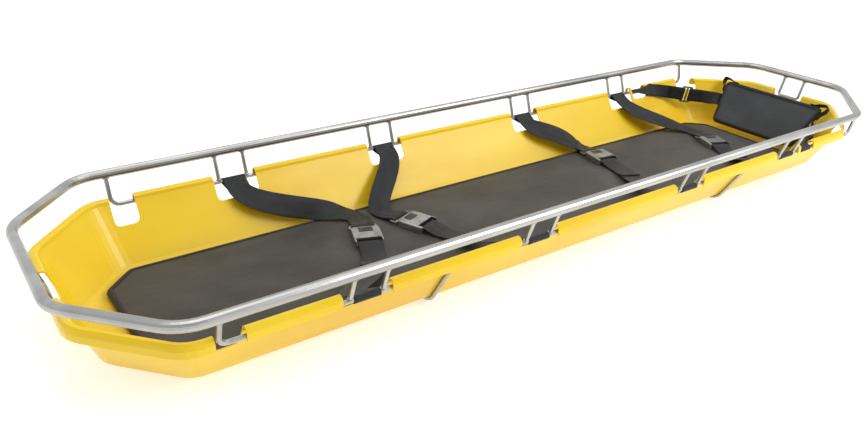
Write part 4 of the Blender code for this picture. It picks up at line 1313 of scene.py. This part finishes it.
def make_welds():
    """Beads at both ends of the posts, and where rods, hoops and brackets end."""
    places = []
    halves = (-POST_SPACING / 2, POST_SPACING / 2)
    posts = [centre + half for centre in STATIONS.values() for half in halves]
    for _, sign in SIDES:
        for x in (*posts, HEAD_LEG_X, FOOT_LEG_X):
            foot, top = Vector((x, ROD_Y * sign, ROD_Z)), Vector((x, rail_y(x) * sign, RAIL_Z))
            radius = POST_R if x in posts else ROD_R
            places.append(bead(top, foot, radius, RAIL_WELD))
            if x in posts:
                places.append(bead(foot, top, radius, ROD_WELD))
        for x in HOOPS:
            tip = Vector((x, ROD_Y * sign, ROD_Z))
            knee = Vector((x, (ROD_Y + HOOP_OUT) * sign, ROD_Z - HOOP_KNEE))
            places.append(bead(tip, knee, HOOP_R, ROD_WELD))
    for end in (-1, 1):
        for half in halves:
            foot = Vector(((HALF_X - BRACKET_SET_IN) * end, half, ROD_Z))
            places.append(bead(Vector((HALF_X * end, half, RAIL_Z)), foot, ROD_R, RAIL_WELD))
    master = bead_master()
    piece = repeated("frame_welds", master, places, "weld")
    carry(piece, "stretcher", "steel")
    bpy.data.objects.remove(master)


def rivet_master():
    """A low rivet head with a raised middle."""
    clear_selection()
    bpy.ops.mesh.primitive_cylinder_add(vertices=16, radius=RIVET_R, depth=RIVET_HIGH,
                                        location=(0, 0, RIVET_HIGH / 3))
    piece = settle(named("rivet_master"))
    edit(piece)
    pick(piece, "faces", lambda f: f.normal.z > 0.9)
    bpy.ops.mesh.inset(thickness=RIVET_STEP)
    bpy.ops.transform.translate(value=(0, 0, RIVET_HIGH / 4))
    pick(piece, "edges", lambda e: all(v.co.z > RIVET_HIGH * 0.67 for v in e.verts))
    bpy.ops.mesh.bevel(offset=0.0002, segments=2, affect="EDGES")
    clear_selection()
    return piece


def make_rivets():
    master = rivet_master()
    for station in STATIONS:
        place = buckle_matrix(station)
        made = [place @ Matrix.Translation((x, y, HOUSING_HIGH - 0.0001)) for x, y in RIVETS]
        piece = repeated(f"{station}_rivets", master, made, "buckle")
        carry(piece, "stretcher", "buckle")
    bpy.data.objects.remove(master)


def make_floor():
    clear_selection()
    bpy.ops.mesh.primitive_plane_add(size=FLOOR_SIZE, location=(0, 0, -FLOOR_DROP))
    floor = settle(named("floor"))
    floor.data.materials.append(pale_floor())


def main():
    place_camera()
    light_studio()
    make_floor()
    dress_nodes()
    master = thread_master()
    pressed = make_restraints(master)
    for station in STATIONS:
        matrix = buckle_matrix(station)
        half_x, half_y = HOUSING_HALF
        pressed += [matrix @ Vector((half_x * along, half_y * across, 0))
                    for along in (-1, -0.5, 0, 0.5, 1, 1.6) for across in (-1, -0.5, 0, 0.5, 1)]
    make_pad(pressed, master)
    make_board(master)
    make_foot_straps()
    make_welds()
    make_rivets()
    bpy.data.objects.remove(master)


main()
